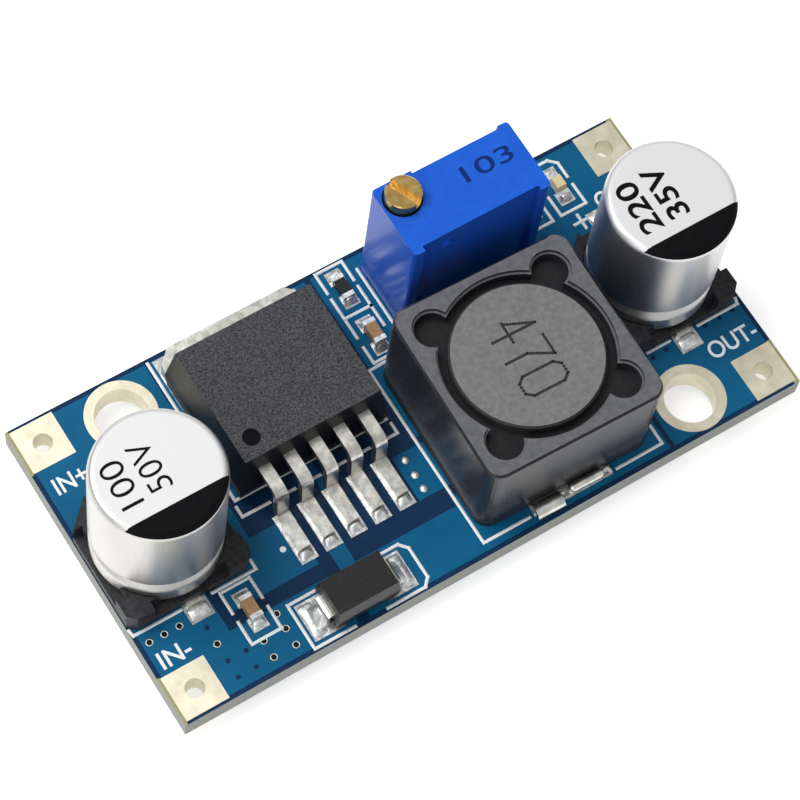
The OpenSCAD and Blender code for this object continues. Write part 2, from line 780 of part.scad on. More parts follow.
module trimmer_screw() {
    head_bottom = trim_h - counterbore_d + run_clear;
    head_top = trim_h + screw_head_up;
    color("#d8a748") on_trimmer() screw_place() {
        difference() {
            rotate_extrude() polygon([[0, pivot_bottom], [pivot_r, pivot_bottom],
                [pivot_r, worm_bottom], [shaft_r, worm_bottom], [shaft_r, neck_bottom + 0.05],
                [neck_r, neck_bottom + 0.05], [neck_r, seal_z - seal_groove_half],
                [seal_groove_r, seal_z - seal_groove_half],
                [seal_groove_r, seal_z + seal_groove_half],
                [neck_r, seal_z + seal_groove_half], [neck_r, head_bottom],
                [screw_head_r, head_bottom], [screw_head_r, head_top - head_edge],
                [screw_head_r - head_edge, head_top], [0, head_top]]);
            rotate([0, 0, slot_turn]) box([3 * screw_head_r, slot_w, 2], head_top - slot_d);
        }
        worm();
    }
}

// Single-start thread: a round set off its axis, turned once for each lead of height
module worm() {
    h = worm_top - worm_bottom;
    turns = h / worm_lead;
    translate([0, 0, worm_bottom]) rotate([0, 0, -360 * (wheel_z - worm_bottom) / worm_lead])
        linear_extrude(h, twist = -360 * turns, slices = ceil(turns * worm_steps_per_turn))
            translate([worm_throw, 0]) circle(r = worm_core_r, $fn = 14);
}

module trimmer_seal() {
    color("#303030") on_trimmer() screw_place() translate([0, 0, seal_z])
        rotate_extrude() translate([seal_r, 0]) circle(r = seal_tube_r, $fn = 32);
}

// Outline of the worm wheel, a tooth space facing the worm
function wheel_points() = let (
        root = wheel_r - tooth_in,
        tip = wheel_r + tooth_out,
        half_root = 0.82 * tooth_module / root * 180 / PI,
        half_tip = 0.24 * tooth_module / tip * 180 / PI)
    [for (i = [0 : wheel_teeth - 1]) let (c = 180 + 360 * (i + 0.5) / wheel_teeth) each [
        root * [cos(c - half_root), sin(c - half_root)],
        tip * [cos(c - half_tip), sin(c - half_tip)],
        tip * [cos(c + half_tip), sin(c + half_tip)],
        root * [cos(c + half_root), sin(c + half_root)]]];

module along_y() {
    translate([wheel_x, 0, wheel_z]) rotate([90, 0, 0]) children();
}

module trimmer_rotor() {
    tilt = atan(worm_lead / (2 * PI * worm_r));
    twist = wheel_w * tan(tilt) / wheel_r * 180 / PI;
    gear_back = screw_y + wheel_w / 2;
    color("#e9e4d6") on_trimmer() along_y() {
        translate([0, 0, -gear_back]) rotate([0, 0, -twist / 2])
            linear_extrude(wheel_w, twist = -twist, slices = 1) polygon(wheel_points());
        translate([0, 0, -screw_y + wheel_w / 2 - eps])
            cylinder(r = rotor_r, h = screw_y - wheel_w / 2 - rotor_front + eps);
        translate([0, 0, -cavity_back - axle_seat])
            cylinder(r = axle_r, h = cavity_back + axle_seat - gear_back + eps);
        translate([0, 0, -cavity_back + run_clear])
            cylinder(r = collar_r, h = cavity_back - run_clear - gear_back + eps);
        translate([0, 0, -rotor_front - eps])
            cylinder(r = spindle_r, h = rotor_front - element_back + spindle_l + eps);
    }
}

// Sprung contact: a plate on the rotor with an arm whose bent tip runs on the element
module trimmer_wiper() {
    reach = rotor_front - element_back - 0.02;
    color("#c99a4b") on_trimmer() along_y() translate([0, 0, -rotor_front]) difference() {
        union() {
            cylinder(r = wiper_plate_r, h = wiper_t);
            translate([0, wiper_arm_l / 2, 0]) box([wiper_arm_w, wiper_arm_l, wiper_t]);
            translate([0, wiper_arm_l - wiper_tip_r, 0])
                box([wiper_arm_w, 2 * wiper_tip_r, reach - wiper_tip_r]);
            translate([-wiper_arm_w / 2, wiper_arm_l - wiper_tip_r, reach - wiper_tip_r])
                rotate([0, 90, 0]) cylinder(r = wiper_tip_r, h = wiper_arm_w, $fn = 24);
        }
        translate([0, 0, -1]) cylinder(r = spindle_r, h = 2);
    }
}

module trimmer_element() {
    color("#efece4") on_trimmer() difference() {
        translate([-cavity_x, element_front, potting_top])
            cube([2 * cavity_x, element_t, roof_z - potting_top]);
        translate([wheel_x, element_back + 1, wheel_z]) rotate([90, 0, 0])
            cylinder(r = spindle_r + run_clear, h = 3);
    }
}

module trimmer_potting() {
    color("#24519e") on_trimmer() difference() {
        translate([-cavity_x, cavity_front, potting_bottom])
            cube([2 * cavity_x, cavity_back - cavity_front, potting_top - potting_bottom]);
        for (i = [1 : 3]) translate([(i - 2) * pin_pitch, 0, 0]) trimmer_pin_shape();
    }
}

// Straight leg through the board, cranked inside the potting to reach the element
module trimmer_pin_shape() {
    y1 = element_back + pin_d / 2;
    bottom = -board_t - pin_below;
    translate([0, 0, bottom]) cylinder(d = pin_d, h = pin_crank_z - bottom, $fn = 32);
    translate([0, 0, pin_crank_z]) rotate([90, 0, 0]) cylinder(d = pin_d, h = -y1, $fn = 32);
    translate([0, y1, pin_crank_z]) cylinder(d = pin_d, h = pin_top - pin_crank_z, $fn = 32);
    for (y = [0, y1]) translate([0, y, pin_crank_z]) sphere(d = pin_d, $fn = 32);
}

module trimmer_pin(i) {
    color("#c8c8c4") pin_place(i) trimmer_pin_shape();
}

// Solder that fills each pin's hole and rises to a cone below the board
module pin_solder_joints() {
    color("#d5d5d2") for (i = [1 : 3]) pin_place(i) rotate_extrude() polygon(concat(
        [[pin_d / 2, 0], [pin_hole_r, 0], [pin_hole_r, -board_t], [joint_r, -board_t]],
        [for (s = [0 : 6]) let (t = s / 6)
            [pin_d / 2 + joint_edge + (joint_r - pin_d / 2 - joint_edge) * pow(1 - t, 2.4),
                -board_t - joint_edge - (joint_h - joint_edge) * t]],
        [[pin_d / 2, -board_t - joint_h]]));
}

// ---- diode ----

module diode_body() {
    l = diode_l;
    w = diode_w;
    color("#323135") on_board(diode_x, diode_y, land_t) difference() {
        hull() {
            box([l - diode_draft, w - diode_draft, eps], diode_lift);
            box([l, w, eps], diode_lead_exit);
            box([l - 2 * diode_draft, w - 2 * diode_draft, eps], diode_h - eps);
        }
        for (s = [-1, 1]) diode_lead(s);
    }
}

// Strap that leaves the end of the body, drops to the board and folds in under it
module diode_lead(s) {
    out = diode_l / 2 + 0.12;
    t = diode_lead_t;
    w = diode_lead_w;
    points = [[out - 0.7, diode_lead_exit], [out + 0.02, diode_lead_exit],
        [out + 0.12, diode_lead_exit - 0.04], [out + 0.16, diode_lead_exit - 0.14],
        [out + 0.16, t / 2 + 0.16], [out + 0.11, t / 2 + 0.05], [out, t / 2],
        [out - 1.1, t / 2]];
    scale_x = s > 0 ? 0 : 1;
    mirror([scale_x, 0, 0]) translate([0, w / 2, 0]) rotate([90, 0, 0])
        linear_extrude(w) polygon(strip_outline(points, t));
}

module diode_lead_at(s) {
    color("#c9c6bd") on_board(diode_x, diode_y, land_t) diode_lead(s);
}

// ---- chips, each lying along Y on its two lands ----

module chip_core(h, skin) {
    box([chip_w - 2 * skin, chip_l - 2 * skin, h - 2 * skin], skin);
}

module chip_ends(h, skin) {
    difference() {
        for (s = [-1, 1]) translate([0, s * (chip_l - end_wrap) / 2]) box([chip_w, end_wrap, h]);
        chip_core(h, skin);
    }
}

module ceramic_at(x, y) {
    color("#b08a5a") on_board(x, y, land_t) chip_core(ceramic_h, end_skin);
}

module resistor_at(x, y) {
    color("#28282a") on_board(x, y, land_t) {
        chip_core(resistor_h, end_skin);
        translate([0, 0, resistor_h - 2 * end_skin])
            box([chip_w - 0.1, chip_l - 2 * end_wrap - 0.02, end_skin + 0.02]);
    }
}

module chip_ends_at(x, y, h) {
    color("#d8d6d0") on_board(x, y, land_t) chip_ends(h, end_skin);
}

module lamp_base() {
    color("#ece7da") on_board(lamp_x, lamp_y, land_t) chip_core(lamp_base_h, end_skin);
}

module lamp_ends() {
    chip_ends_at(lamp_x, lamp_y, lamp_base_h);
}

module lamp_lens() {
    color("#e9dcb0") on_board(lamp_x, lamp_y, land_t + lamp_base_h - end_skin) hull() {
        box([chip_w - 2 * end_skin, lens_l - 0.1, eps], 0);
        box([chip_w - 0.16, lens_l - 0.25, eps], lens_h - eps);
    }
}

circuit_board();
wire_pad("in", "minus");  // wire_pad_in_minus
wire_pad("in", "plus");  // wire_pad_in_plus
wire_pad("out", "minus");  // wire_pad_out_minus
wire_pad("out", "plus");  // wire_pad_out_plus
mount_ring("in");  // mount_ring_in
mount_ring("out");  // mount_ring_out
component_lands();
cap_can(in_cap_x);  // input_cap_can
cap_base(in_cap_x);  // input_cap_base
cap_terminal(in_cap_x, -1);  // input_cap_terminal_minus
cap_terminal(in_cap_x, 1);  // input_cap_terminal_plus
cap_can(out_cap_x);  // output_cap_can
cap_base(out_cap_x);  // output_cap_base
cap_terminal(out_cap_x, -1);  // output_cap_terminal_minus
cap_terminal(out_cap_x, 1);  // output_cap_terminal_plus
regulator_body();
regulator_tab();
regulator_lead_at(1);  // regulator_lead_1
regulator_lead_at(2);  // regulator_lead_2
regulator_lead_at(4);  // regulator_lead_4
regulator_lead_at(5);  // regulator_lead_5
inductor_shield();
inductor_core();
inductor_winding();
inductor_filler();
inductor_base();
inductor_terminal(-1);  // inductor_terminal_front
inductor_terminal(1);  // inductor_terminal_back
trimmer_housing();
trimmer_screw();
trimmer_seal();
trimmer_rotor();
trimmer_wiper();
trimmer_element();
trimmer_potting();
trimmer_pin(1);  // trimmer_pin_1
trimmer_pin(2);  // trimmer_pin_2
trimmer_pin(3);  // trimmer_pin_3
pin_solder_joints();
diode_body();
diode_lead_at(-1);  // diode_lead_in
diode_lead_at(1);  // diode_lead_out
ceramic_at(in_chip_x, in_chip_y);  // input_chip_cap
chip_ends_at(in_chip_x, in_chip_y, ceramic_h);  // input_chip_cap_ends
ceramic_at(chip_x, feedback_y);  // feedback_chip_cap
chip_ends_at(chip_x, feedback_y, ceramic_h);  // feedback_chip_cap_ends
resistor_at(chip_x, divider_y);  // divider_resistor
chip_ends_at(chip_x, divider_y, resistor_h);  // divider_resistor_ends
resistor_at(lamp_resistor_x, lamp_y);  // lamp_resistor
chip_ends_at(lamp_resistor_x, lamp_y, resistor_h);  // lamp_resistor_ends
lamp_base();
lamp_lens();
lamp_ends();
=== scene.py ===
import math
import random

import bmesh
import bpy
from mathutils import Euler, Matrix, Vector


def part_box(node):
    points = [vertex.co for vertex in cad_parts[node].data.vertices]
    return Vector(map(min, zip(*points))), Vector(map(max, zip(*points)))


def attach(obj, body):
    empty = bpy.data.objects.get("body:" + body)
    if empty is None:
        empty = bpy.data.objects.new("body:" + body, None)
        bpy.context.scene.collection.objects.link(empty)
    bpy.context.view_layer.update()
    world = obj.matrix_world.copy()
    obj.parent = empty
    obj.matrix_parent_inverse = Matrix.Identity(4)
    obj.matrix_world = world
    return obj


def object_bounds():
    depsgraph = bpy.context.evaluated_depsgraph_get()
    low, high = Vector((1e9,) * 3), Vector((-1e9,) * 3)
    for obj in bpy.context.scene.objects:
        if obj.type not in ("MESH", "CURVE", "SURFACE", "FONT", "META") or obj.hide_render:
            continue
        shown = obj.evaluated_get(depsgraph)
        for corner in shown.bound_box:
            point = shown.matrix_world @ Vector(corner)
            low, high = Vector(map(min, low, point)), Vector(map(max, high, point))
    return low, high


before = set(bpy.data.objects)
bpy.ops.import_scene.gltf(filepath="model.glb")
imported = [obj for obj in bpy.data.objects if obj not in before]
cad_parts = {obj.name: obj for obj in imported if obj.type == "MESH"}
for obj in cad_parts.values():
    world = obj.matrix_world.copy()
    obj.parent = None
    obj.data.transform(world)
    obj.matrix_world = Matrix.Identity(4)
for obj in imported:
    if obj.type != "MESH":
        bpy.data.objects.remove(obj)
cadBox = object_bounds()
print("frame loaded:", len(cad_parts), "nodes")

mm = 0.001
boardLow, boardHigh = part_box("circuit_board")
boardLength = (boardHigh.x - boardLow.x) / mm
boardWidth = (boardHigh.y - boardLow.y) / mm


# x and y from the board's input corner on the negative side, z from its top face, all in mm
def spot(x, y, z=0.0):
    return Vector((boardLow.x + x * mm, boardLow.y + y * mm, boardHigh.z + z * mm))


def middle(node):
    low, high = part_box(node)
    return (low + high) / 2


# Camera, lamps, sky and floor
view = {"place": (-52.66, -56.96, 172.28), "turn": (24.277, -4.728, -32.088), "lens": 139.7,
        "sensor": 36.0, "shift": (-0.0041, -0.0035)}
lamps = {
    "overhead": {"place": (-130, 130, 330), "aim": (0, 0, 0), "size": 220, "watts": 0.95},
    "fill": {"place": (-260, -160, 200), "aim": (0, 0, 4), "size": 240, "watts": 0.28},
}
backdrop = {"floorSize": 3000, "floorColor": (0.86, 0.86, 0.86), "floorGlow": 0.55,
            "skyLight": 0.42, "skySeen": 1.0, "skyMirrored": 0.6}


def makeCamera():
    data = bpy.data.cameras.new("camera")
    data.sensor_width = view["sensor"]
    data.lens = view["lens"]
    data.shift_x, data.shift_y = view["shift"]
    data.clip_start = 0.005
    camera = bpy.data.objects.new("camera", data)
    camera.location = Vector(view["place"]) * mm
    camera.rotation_euler = Euler([math.radians(a) for a in view["turn"]])
    bpy.context.scene.collection.objects.link(camera)
    bpy.context.scene.camera = camera


def makeLamps():
    for name, lamp in lamps.items():
        data = bpy.data.lights.new(name, "AREA")
        data.size = lamp["size"] * mm
        data.energy = lamp["watts"]
        light = bpy.data.objects.new(name, data)
        light.location = Vector(lamp["place"]) * mm
        aim = Vector(lamp["aim"]) * mm - light.location
        light.rotation_euler = aim.to_track_quat("-Z", "Y").to_euler()
        light.visible_camera = False
        bpy.context.scene.collection.objects.link(light)


def seenRays(nodes, links):
    path = nodes.new("ShaderNodeLightPath")
    first = nodes.new("ShaderNodeMath")
    first.operation = "MAXIMUM"
    links.new(path.outputs["Is Camera Ray"], first.inputs[0])
    links.new(path.outputs["Is Transmission Ray"], first.inputs[1])
    return first.outputs[0], path.outputs["Is Glossy Ray"]


def makeSky():
    world = bpy.data.worlds.new("studio")
    bpy.context.scene.world = world
    world.use_nodes = True
    nodes, links = world.node_tree.nodes, world.node_tree.links
    nodes.clear()
    output = nodes.new("ShaderNodeOutputWorld")
    background = nodes.new("ShaderNodeBackground")
    background.inputs["Color"].default_value = (1, 1, 1, 1)
    seen, mirrored = seenRays(nodes, links)
    inMirrors = nodes.new("ShaderNodeMix")
    inMirrors.inputs["A"].default_value = backdrop["skyLight"]
    inMirrors.inputs["B"].default_value = backdrop["skyMirrored"]
    strength = nodes.new("ShaderNodeMix")
    strength.inputs["B"].default_value = backdrop["skySeen"]
    links.new(mirrored, inMirrors.inputs["Factor"])
    links.new(inMirrors.outputs["Result"], strength.inputs["A"])
    links.new(seen, strength.inputs["Factor"])
    links.new(strength.outputs["Result"], background.inputs["Strength"])
    links.new(background.outputs[0], output.inputs["Surface"])


def makeFloor():
    half = backdrop["floorSize"] * mm / 2
    mesh = bpy.data.meshes.new("floor")
    mesh.from_pydata([(-half, -half, 0), (half, -half, 0), (half, half, 0), (-half, half, 0)],
                     [], [(0, 1, 2, 3)])
    floor = bpy.data.objects.new("floor", mesh)
    floor.location.z = cadBox[0][2] - 0.02 * mm
    bpy.context.scene.collection.objects.link(floor)
    material = bpy.data.materials.new("floorPaper")
    material.use_nodes = True
    nodes, links = material.node_tree.nodes, material.node_tree.links
    nodes.clear()
    output = nodes.new("ShaderNodeOutputMaterial")
    diffuse = nodes.new("ShaderNodeBsdfDiffuse")
    diffuse.inputs["Color"].default_value = (*backdrop["floorColor"], 1)
    glow = nodes.new("ShaderNodeEmission")
    both = nodes.new("ShaderNodeAddShader")
    seen, mirrored = seenRays(nodes, links)
    either = nodes.new("ShaderNodeMath")
    either.operation = "MAXIMUM"
    level = nodes.new("ShaderNodeMath")
    level.operation = "MULTIPLY"
    level.inputs[1].default_value = backdrop["floorGlow"]
    links.new(seen, either.inputs[0])
    links.new(mirrored, either.inputs[1])
    links.new(either.outputs[0], level.inputs[0])
    links.new(level.outputs[0], glow.inputs["Strength"])
    links.new(diffuse.outputs[0], both.inputs[0])
    links.new(glow.outputs[0], both.inputs[1])
    links.new(both.outputs[0], output.inputs["Surface"])
    mesh.materials.append(material)


makeCamera()
makeLamps()
makeSky()
makeFloor()
bpy.context.scene.view_settings.view_transform = "Standard"
print("camera, lamps and floor ready")


# A finish: two tones mixed by noise, fine bump, and a second roughness and colour for steep
# flanks; on some finishes that flank colour is painted shade
def makeFinish(name, light, dark, rough=0.4, metal=0.0, specular=0.5, grain=0.3, contrast=0.5,
               bump=0.0, bumpGrain=None, flankRough=None, flankToneAndShade=None, coat=0.0,
               stretch=(1, 1, 1), roughRange=0.06):
    material = bpy.data.materials.new(name)
    material.use_nodes = True
    nodes, links = material.node_tree.nodes, material.node_tree.links
    shader = nodes["Principled BSDF"]
    shader.inputs["Metallic"].default_value = metal
    shader.inputs["Specular IOR Level"].default_value = specular
    shader.inputs["Coat Weight"].default_value = coat
    shader.inputs["Coat Roughness"].default_value = 0.08
    place = nodes.new("ShaderNodeTexCoord")
    mapping = nodes.new("ShaderNodeMapping")
    mapping.inputs["Scale"].default_value = stretch
    links.new(place.outputs["Object"], mapping.inputs["Vector"])
    noise = nodes.new("ShaderNodeTexNoise")
    noise.inputs["Scale"].default_value = 1 / (grain * mm)
    noise.inputs["Detail"].default_value = 5
    noise.inputs["Roughness"].default_value = 0.6
    links.new(mapping.outputs[0], noise.inputs["Vector"])
    tones = nodes.new("ShaderNodeValToRGB")
    tones.color_ramp.elements[0].position = 0.5 - contrast / 2
    tones.color_ramp.elements[1].position = 0.5 + contrast / 2
    tones.color_ramp.elements[0].color = (*dark, 1)
    tones.color_ramp.elements[1].color = (*light, 1)
    links.new(noise.outputs["Fac"], tones.inputs["Fac"])
    color = tones.outputs["Color"]
    roughness = nodes.new("ShaderNodeMapRange")
    roughness.inputs["To Min"].default_value = max(rough - roughRange, 0.02)
    roughness.inputs["To Max"].default_value = rough + roughRange
    links.new(noise.outputs["Fac"], roughness.inputs["Value"])
    dull = roughness.outputs["Result"]
    if flankRough is not None or flankToneAndShade is not None:
        upness = makeUpness(nodes, links)
        if flankRough is not None:
            mixRough = nodes.new("ShaderNodeMix")
            mixRough.inputs["A"].default_value = flankRough
            links.new(upness, mixRough.inputs["Factor"])
            links.new(dull, mixRough.inputs["B"])
            dull = mixRough.outputs["Result"]
        # flank colour: a real tone on the laminate edge and epoxy sides, painted shade on the
        # ferrite, core and nylon flanks
        if flankToneAndShade is not None:
            mixColor = nodes.new("ShaderNodeMix")
            mixColor.data_type = "RGBA"
            mixColor.inputs["A"].default_value = (*flankToneAndShade, 1)
            links.new(upness, mixColor.inputs["Factor"])
            links.new(color, mixColor.inputs["B"])
            color = mixColor.outputs["Result"]
    links.new(color, shader.inputs["Base Color"])
    links.new(dull, shader.inputs["Roughness"])
    if bump > 0:
        fine = nodes.new("ShaderNodeTexNoise")
        fine.inputs["Scale"].default_value = 1 / ((bumpGrain or grain) * mm)
        fine.inputs["Detail"].default_value = 3
        links.new(mapping.outputs[0], fine.inputs["Vector"])
        relief = nodes.new("ShaderNodeBump")
        relief.inputs["Strength"].default_value = 1.0
        relief.inputs["Distance"].default_value = bump * mm
        links.new(fine.outputs["Fac"], relief.inputs["Height"])
        links.new(relief.outputs["Normal"], shader.inputs["Normal"])
    return material


flank = {"steep": 0.82, "flat": 0.97}


# 1 where a face looks up or down, 0 on an upright flank
def makeUpness(nodes, links):
    geometry = nodes.new("ShaderNodeNewGeometry")
    parts = nodes.new("ShaderNodeSeparateXYZ")
    size = nodes.new("ShaderNodeMath")
    size.operation = "ABSOLUTE"
    step = nodes.new("ShaderNodeMapRange")
    step.inputs["From Min"].default_value = flank["steep"]
    step.inputs["From Max"].default_value = flank["flat"]
    links.new(geometry.outputs["Normal"], parts.inputs[0])
    links.new(parts.outputs["Z"], size.inputs[0])
    links.new(size.outputs[0], step.inputs["Value"])
    return step.outputs["Result"]


finishes = {
    "laminate": makeFinish("laminateAndMask", (0.007, 0.034, 0.092), (0.005, 0.027, 0.078),
                           rough=0.32, specular=0.1, grain=0.9, bump=0.004, bumpGrain=0.25,
                           flankRough=0.85, flankToneAndShade=(0.40, 0.41, 0.38)),
    "mask": makeFinish("maskOverCopper", (0.006, 0.125, 0.262), (0.004, 0.100, 0.222),
                       rough=0.32, specular=0.1, grain=2.2, bump=0.003, bumpGrain=0.3),
    "bareFibre": makeFinish("bareFibre", (0.42, 0.40, 0.20), (0.30, 0.28, 0.13), rough=0.6,
                            specular=0.2, grain=0.3, bump=0.01),
    "ink": makeFinish("legendInk", (0.92, 0.94, 0.95), (0.84, 0.87, 0.89), rough=0.55,
                      specular=0.2, grain=0.25, bump=0.004),
    "tin": makeFinish("tinnedPad", (0.84, 0.79, 0.62), (0.68, 0.63, 0.48), rough=0.4,
                      metal=0.8, grain=1.1, contrast=0.35, bump=0.006, bumpGrain=0.5),
    "solder": makeFinish("solder", (0.92, 0.93, 0.92), (0.50, 0.51, 0.51), rough=0.4,
                         metal=0.85, grain=0.4, contrast=0.3, bump=0.03, bumpGrain=0.25),
    "landTin": makeFinish("landTin", (0.72, 0.73, 0.72), (0.34, 0.35, 0.36), rough=0.38,
                          metal=0.9, grain=0.35, contrast=0.3, bump=0.02, bumpGrain=0.25),
    "lead": makeFinish("lead", (0.90, 0.89, 0.83), (0.48, 0.47, 0.43), rough=0.3, metal=1.0,
                       grain=0.6, contrast=0.4, bump=0.010, bumpGrain=0.2),
    "epoxy": makeFinish("epoxy", (0.100, 0.102, 0.110), (0.010, 0.011, 0.014), rough=0.5,
                        specular=0.2, grain=0.09, contrast=0.26, bump=0.025, bumpGrain=0.11,
                        flankRough=0.34, flankToneAndShade=(0.006, 0.006, 0.008), roughRange=0.12),
    "diode": makeFinish("diodeEpoxy", (0.022, 0.021, 0.023), (0.011, 0.011, 0.012), rough=0.42,
                        specular=0.22, grain=0.2, bump=0.006, flankRough=0.3),
    "basePlastic": makeFinish("basePlastic", (0.030, 0.030, 0.034), (0.010, 0.010, 0.012),
                              rough=0.5, specular=0.25, grain=0.3, contrast=0.3, bump=0.02,
                              bumpGrain=0.25),
    # shield: the near-black flank colour is painted shade on its upright sides
    "ferrite": makeFinish("shieldFerrite", (0.150, 0.152, 0.160), (0.095, 0.097, 0.105),
                          rough=0.5, specular=0.25, grain=0.5, contrast=0.4, bump=0.010,
                          bumpGrain=0.12, flankRough=0.26, flankToneAndShade=(0.020, 0.021, 0.026)),
    # core: the near-black flank colour is painted shade on its sides in the gap inside the
    # shield
    "core": makeFinish("coreFerrite", (0.205, 0.205, 0.208), (0.145, 0.145, 0.148), rough=0.6,
                       specular=0.3, grain=0.35, contrast=0.35, bump=0.014, bumpGrain=0.13,
                       flankToneAndShade=(0.03, 0.03, 0.032)),
    "copper": makeFinish("enamelledWire", (0.62, 0.27, 0.10), (0.44, 0.17, 0.06), rough=0.25,
                         metal=0.9, grain=1.5),
    "resin": makeFinish("blackResin", (0.016, 0.016, 0.018), (0.008, 0.008, 0.010), rough=0.45,
                        specular=0.2, grain=0.6, bump=0.02, bumpGrain=0.5),
    # housing: the darker blue flank colour is painted shade on its upright faces
    "nylon": makeFinish("blueNylon", (0.014, 0.128, 0.70), (0.010, 0.098, 0.58), rough=0.35,
                        specular=0.16, grain=1.6, bump=0.008, bumpGrain=0.2, flankRough=0.22,
                        flankToneAndShade=(0.014, 0.085, 0.50)),
    "nylonInk": makeFinish("engraving", (0.005, 0.030, 0.19), (0.003, 0.020, 0.13), rough=0.5,
                           specular=0.1, grain=0.3, bump=0.004),
    "brass": makeFinish("brass", (0.66, 0.46, 0.17), (0.42, 0.27, 0.08), rough=0.28, metal=1.0,
                        grain=0.5, contrast=0.4, bump=0.008, bumpGrain=0.16),
    "rubber": makeFinish("rubber", (0.03, 0.03, 0.03), (0.02, 0.02, 0.02), rough=0.6, grain=0.3,
                         bump=0.004),
    "cream": makeFinish("creamPlastic", (0.82, 0.78, 0.68), (0.74, 0.70, 0.60), rough=0.45,
                        grain=0.8, bump=0.003),
    "alumina": makeFinish("alumina", (0.80, 0.79, 0.74), (0.70, 0.68, 0.62), rough=0.55,
                          specular=0.3, grain=0.3, bump=0.004),
    "potting": makeFinish("potting", (0.03, 0.10, 0.36), (0.02, 0.07, 0.27), rough=0.35,
                          grain=1.0, bump=0.01),
    "dielectric": makeFinish("dielectric", (0.46, 0.29, 0.14), (0.32, 0.19, 0.08), rough=0.4,
                             specular=0.3, grain=0.25, bump=0.006),
    "glaze": makeFinish("glaze", (0.024, 0.024, 0.027), (0.012, 0.012, 0.014), rough=0.3,
                        specular=0.3, grain=0.3, bump=0.004),
    "lens": makeFinish("lampResin", (0.84, 0.74, 0.42), (0.76, 0.64, 0.33), rough=0.25,
                       grain=0.4, bump=0.004, coat=0.2),
    "blackInk": makeFinish("blackInk", (0.006, 0.006, 0.007), (0.003, 0.003, 0.004), rough=0.6,
                           specular=0.06, grain=0.4, bump=0.003),
    "greyInk": makeFinish("greyInk", (0.040, 0.040, 0.042), (0.022, 0.022, 0.024), rough=0.6,
                          specular=0.1, grain=0.2, contrast=0.3),
    # near-black discs laid in the open vias: painted shade of the hole inside
    "drilled": makeFinish("paintedHoleShade", (0.006, 0.012, 0.016), (0.003, 0.006, 0.010),
                          rough=0.6, specular=0.1, grain=0.1),
    "tented": makeFinish("tentedHole", (0.005, 0.034, 0.095), (0.004, 0.024, 0.075), rough=0.3,
                         specular=0.1, grain=0.1),
}


# Drawn can: bright satin side with fine upright draw lines; the top gets a pale non-metal
# colour, a painted reflection of the overhead light
def makeCanFinish(name, side, dark, top, rough):
    material = makeFinish(name, side, dark, rough=rough, metal=1.0, grain=2.4, contrast=0.5,
                          bump=0.004, bumpGrain=0.5, stretch=(1, 1, 0.16))
    nodes, links = material.node_tree.nodes, material.node_tree.links
    shader = nodes["Principled BSDF"]
    upness = makeUpness(nodes, links)
    covered = shader.inputs["Base Color"].links[0].from_socket
    # painted reflection: up-facing faces take the pale top colour and are made non-metal
    mixColor = nodes.new("ShaderNodeMix")
    mixColor.data_type = "RGBA"
    mixColor.inputs["B"].default_value = (*top, 1)
    links.new(upness, mixColor.inputs["Factor"])
    links.new(covered, mixColor.inputs["A"])
    links.new(mixColor.outputs["Result"], shader.inputs["Base Color"])
    bare = nodes.new("ShaderNodeMapRange")
    bare.inputs["To Min"].default_value = 1.0
    bare.inputs["To Max"].default_value = 0.0
    links.new(upness, bare.inputs["Value"])
    links.new(bare.outputs["Result"], shader.inputs["Metallic"])
    return material


finishes["inputCan"] = makeCanFinish("inputCan", (0.66, 0.65, 0.63), (0.50, 0.49, 0.47),
                                     (0.78, 0.78, 0.78), 0.36)
finishes["outputCan"] = makeCanFinish("outputCan", (0.74, 0.74, 0.75), (0.58, 0.58, 0.60),
                                      (0.74, 0.74, 0.75), 0.36)

nodeFinish = {
    "circuit_board": "laminate", "component_lands": "landTin", "pin_solder_joints": "solder",
    "wire_pad": "tin", "mount_ring": "tin", "input_cap_can": "inputCan",
    "output_cap_can": "outputCan", "input_cap_base": "basePlastic",
    "output_cap_base": "basePlastic", "input_cap_terminal": "lead",
    "output_cap_terminal": "lead", "regulator_body": "epoxy", "regulator_tab": "lead",
    "regulator_lead": "lead", "inductor_shield": "ferrite", "inductor_core": "core",
    "inductor_winding": "copper", "inductor_filler": "resin", "inductor_base": "basePlastic",
    "inductor_terminal": "lead", "trimmer_housing": "nylon", "trimmer_screw": "brass",
    "trimmer_seal": "rubber", "trimmer_rotor": "cream", "trimmer_wiper": "brass",
    "trimmer_element": "alumina", "trimmer_potting": "potting", "trimmer_pin": "lead",
    "diode_body": "diode", "diode_lead": "lead", "input_chip_cap": "dielectric",
    "feedback_chip_cap": "dielectric", "divider_resistor": "glaze", "lamp_resistor": "glaze",
    "input_chip_cap_ends": "solder", "feedback_chip_cap_ends": "solder",
    "divider_resistor_ends": "solder", "lamp_resistor_ends": "solder", "lamp_base": "alumina",
    "lamp_lens": "lens", "lamp_ends": "solder",
}


def paintNodes():
    for node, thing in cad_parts.items():
        fits = [start for start in nodeFinish if node.startswith(start)]
        material = finishes[nodeFinish[max(fits, key=len)]]
        thing.data.materials.clear()
        thing.data.materials.append(material)


paintNodes()
print("materials ready:", len(finishes))


# Shared ways to make pieces
def addPiece(name, mesh, finish, body="module", smooth=False):
    mesh.name = name
    mesh.materials.clear()
    mesh.materials.append(finishes[finish])
    if smooth:
        mesh.shade_smooth()
    piece = bpy.data.objects.new(name, mesh)
    bpy.context.scene.collection.objects.link(piece)
    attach(piece, body)
    return piece


def evaluatedMesh(thing):
    bpy.context.view_layer.update()
    graph = bpy.context.evaluated_depsgraph_get()
    return bpy.data.meshes.new_from_object(thing.evaluated_get(graph), depsgraph=graph)


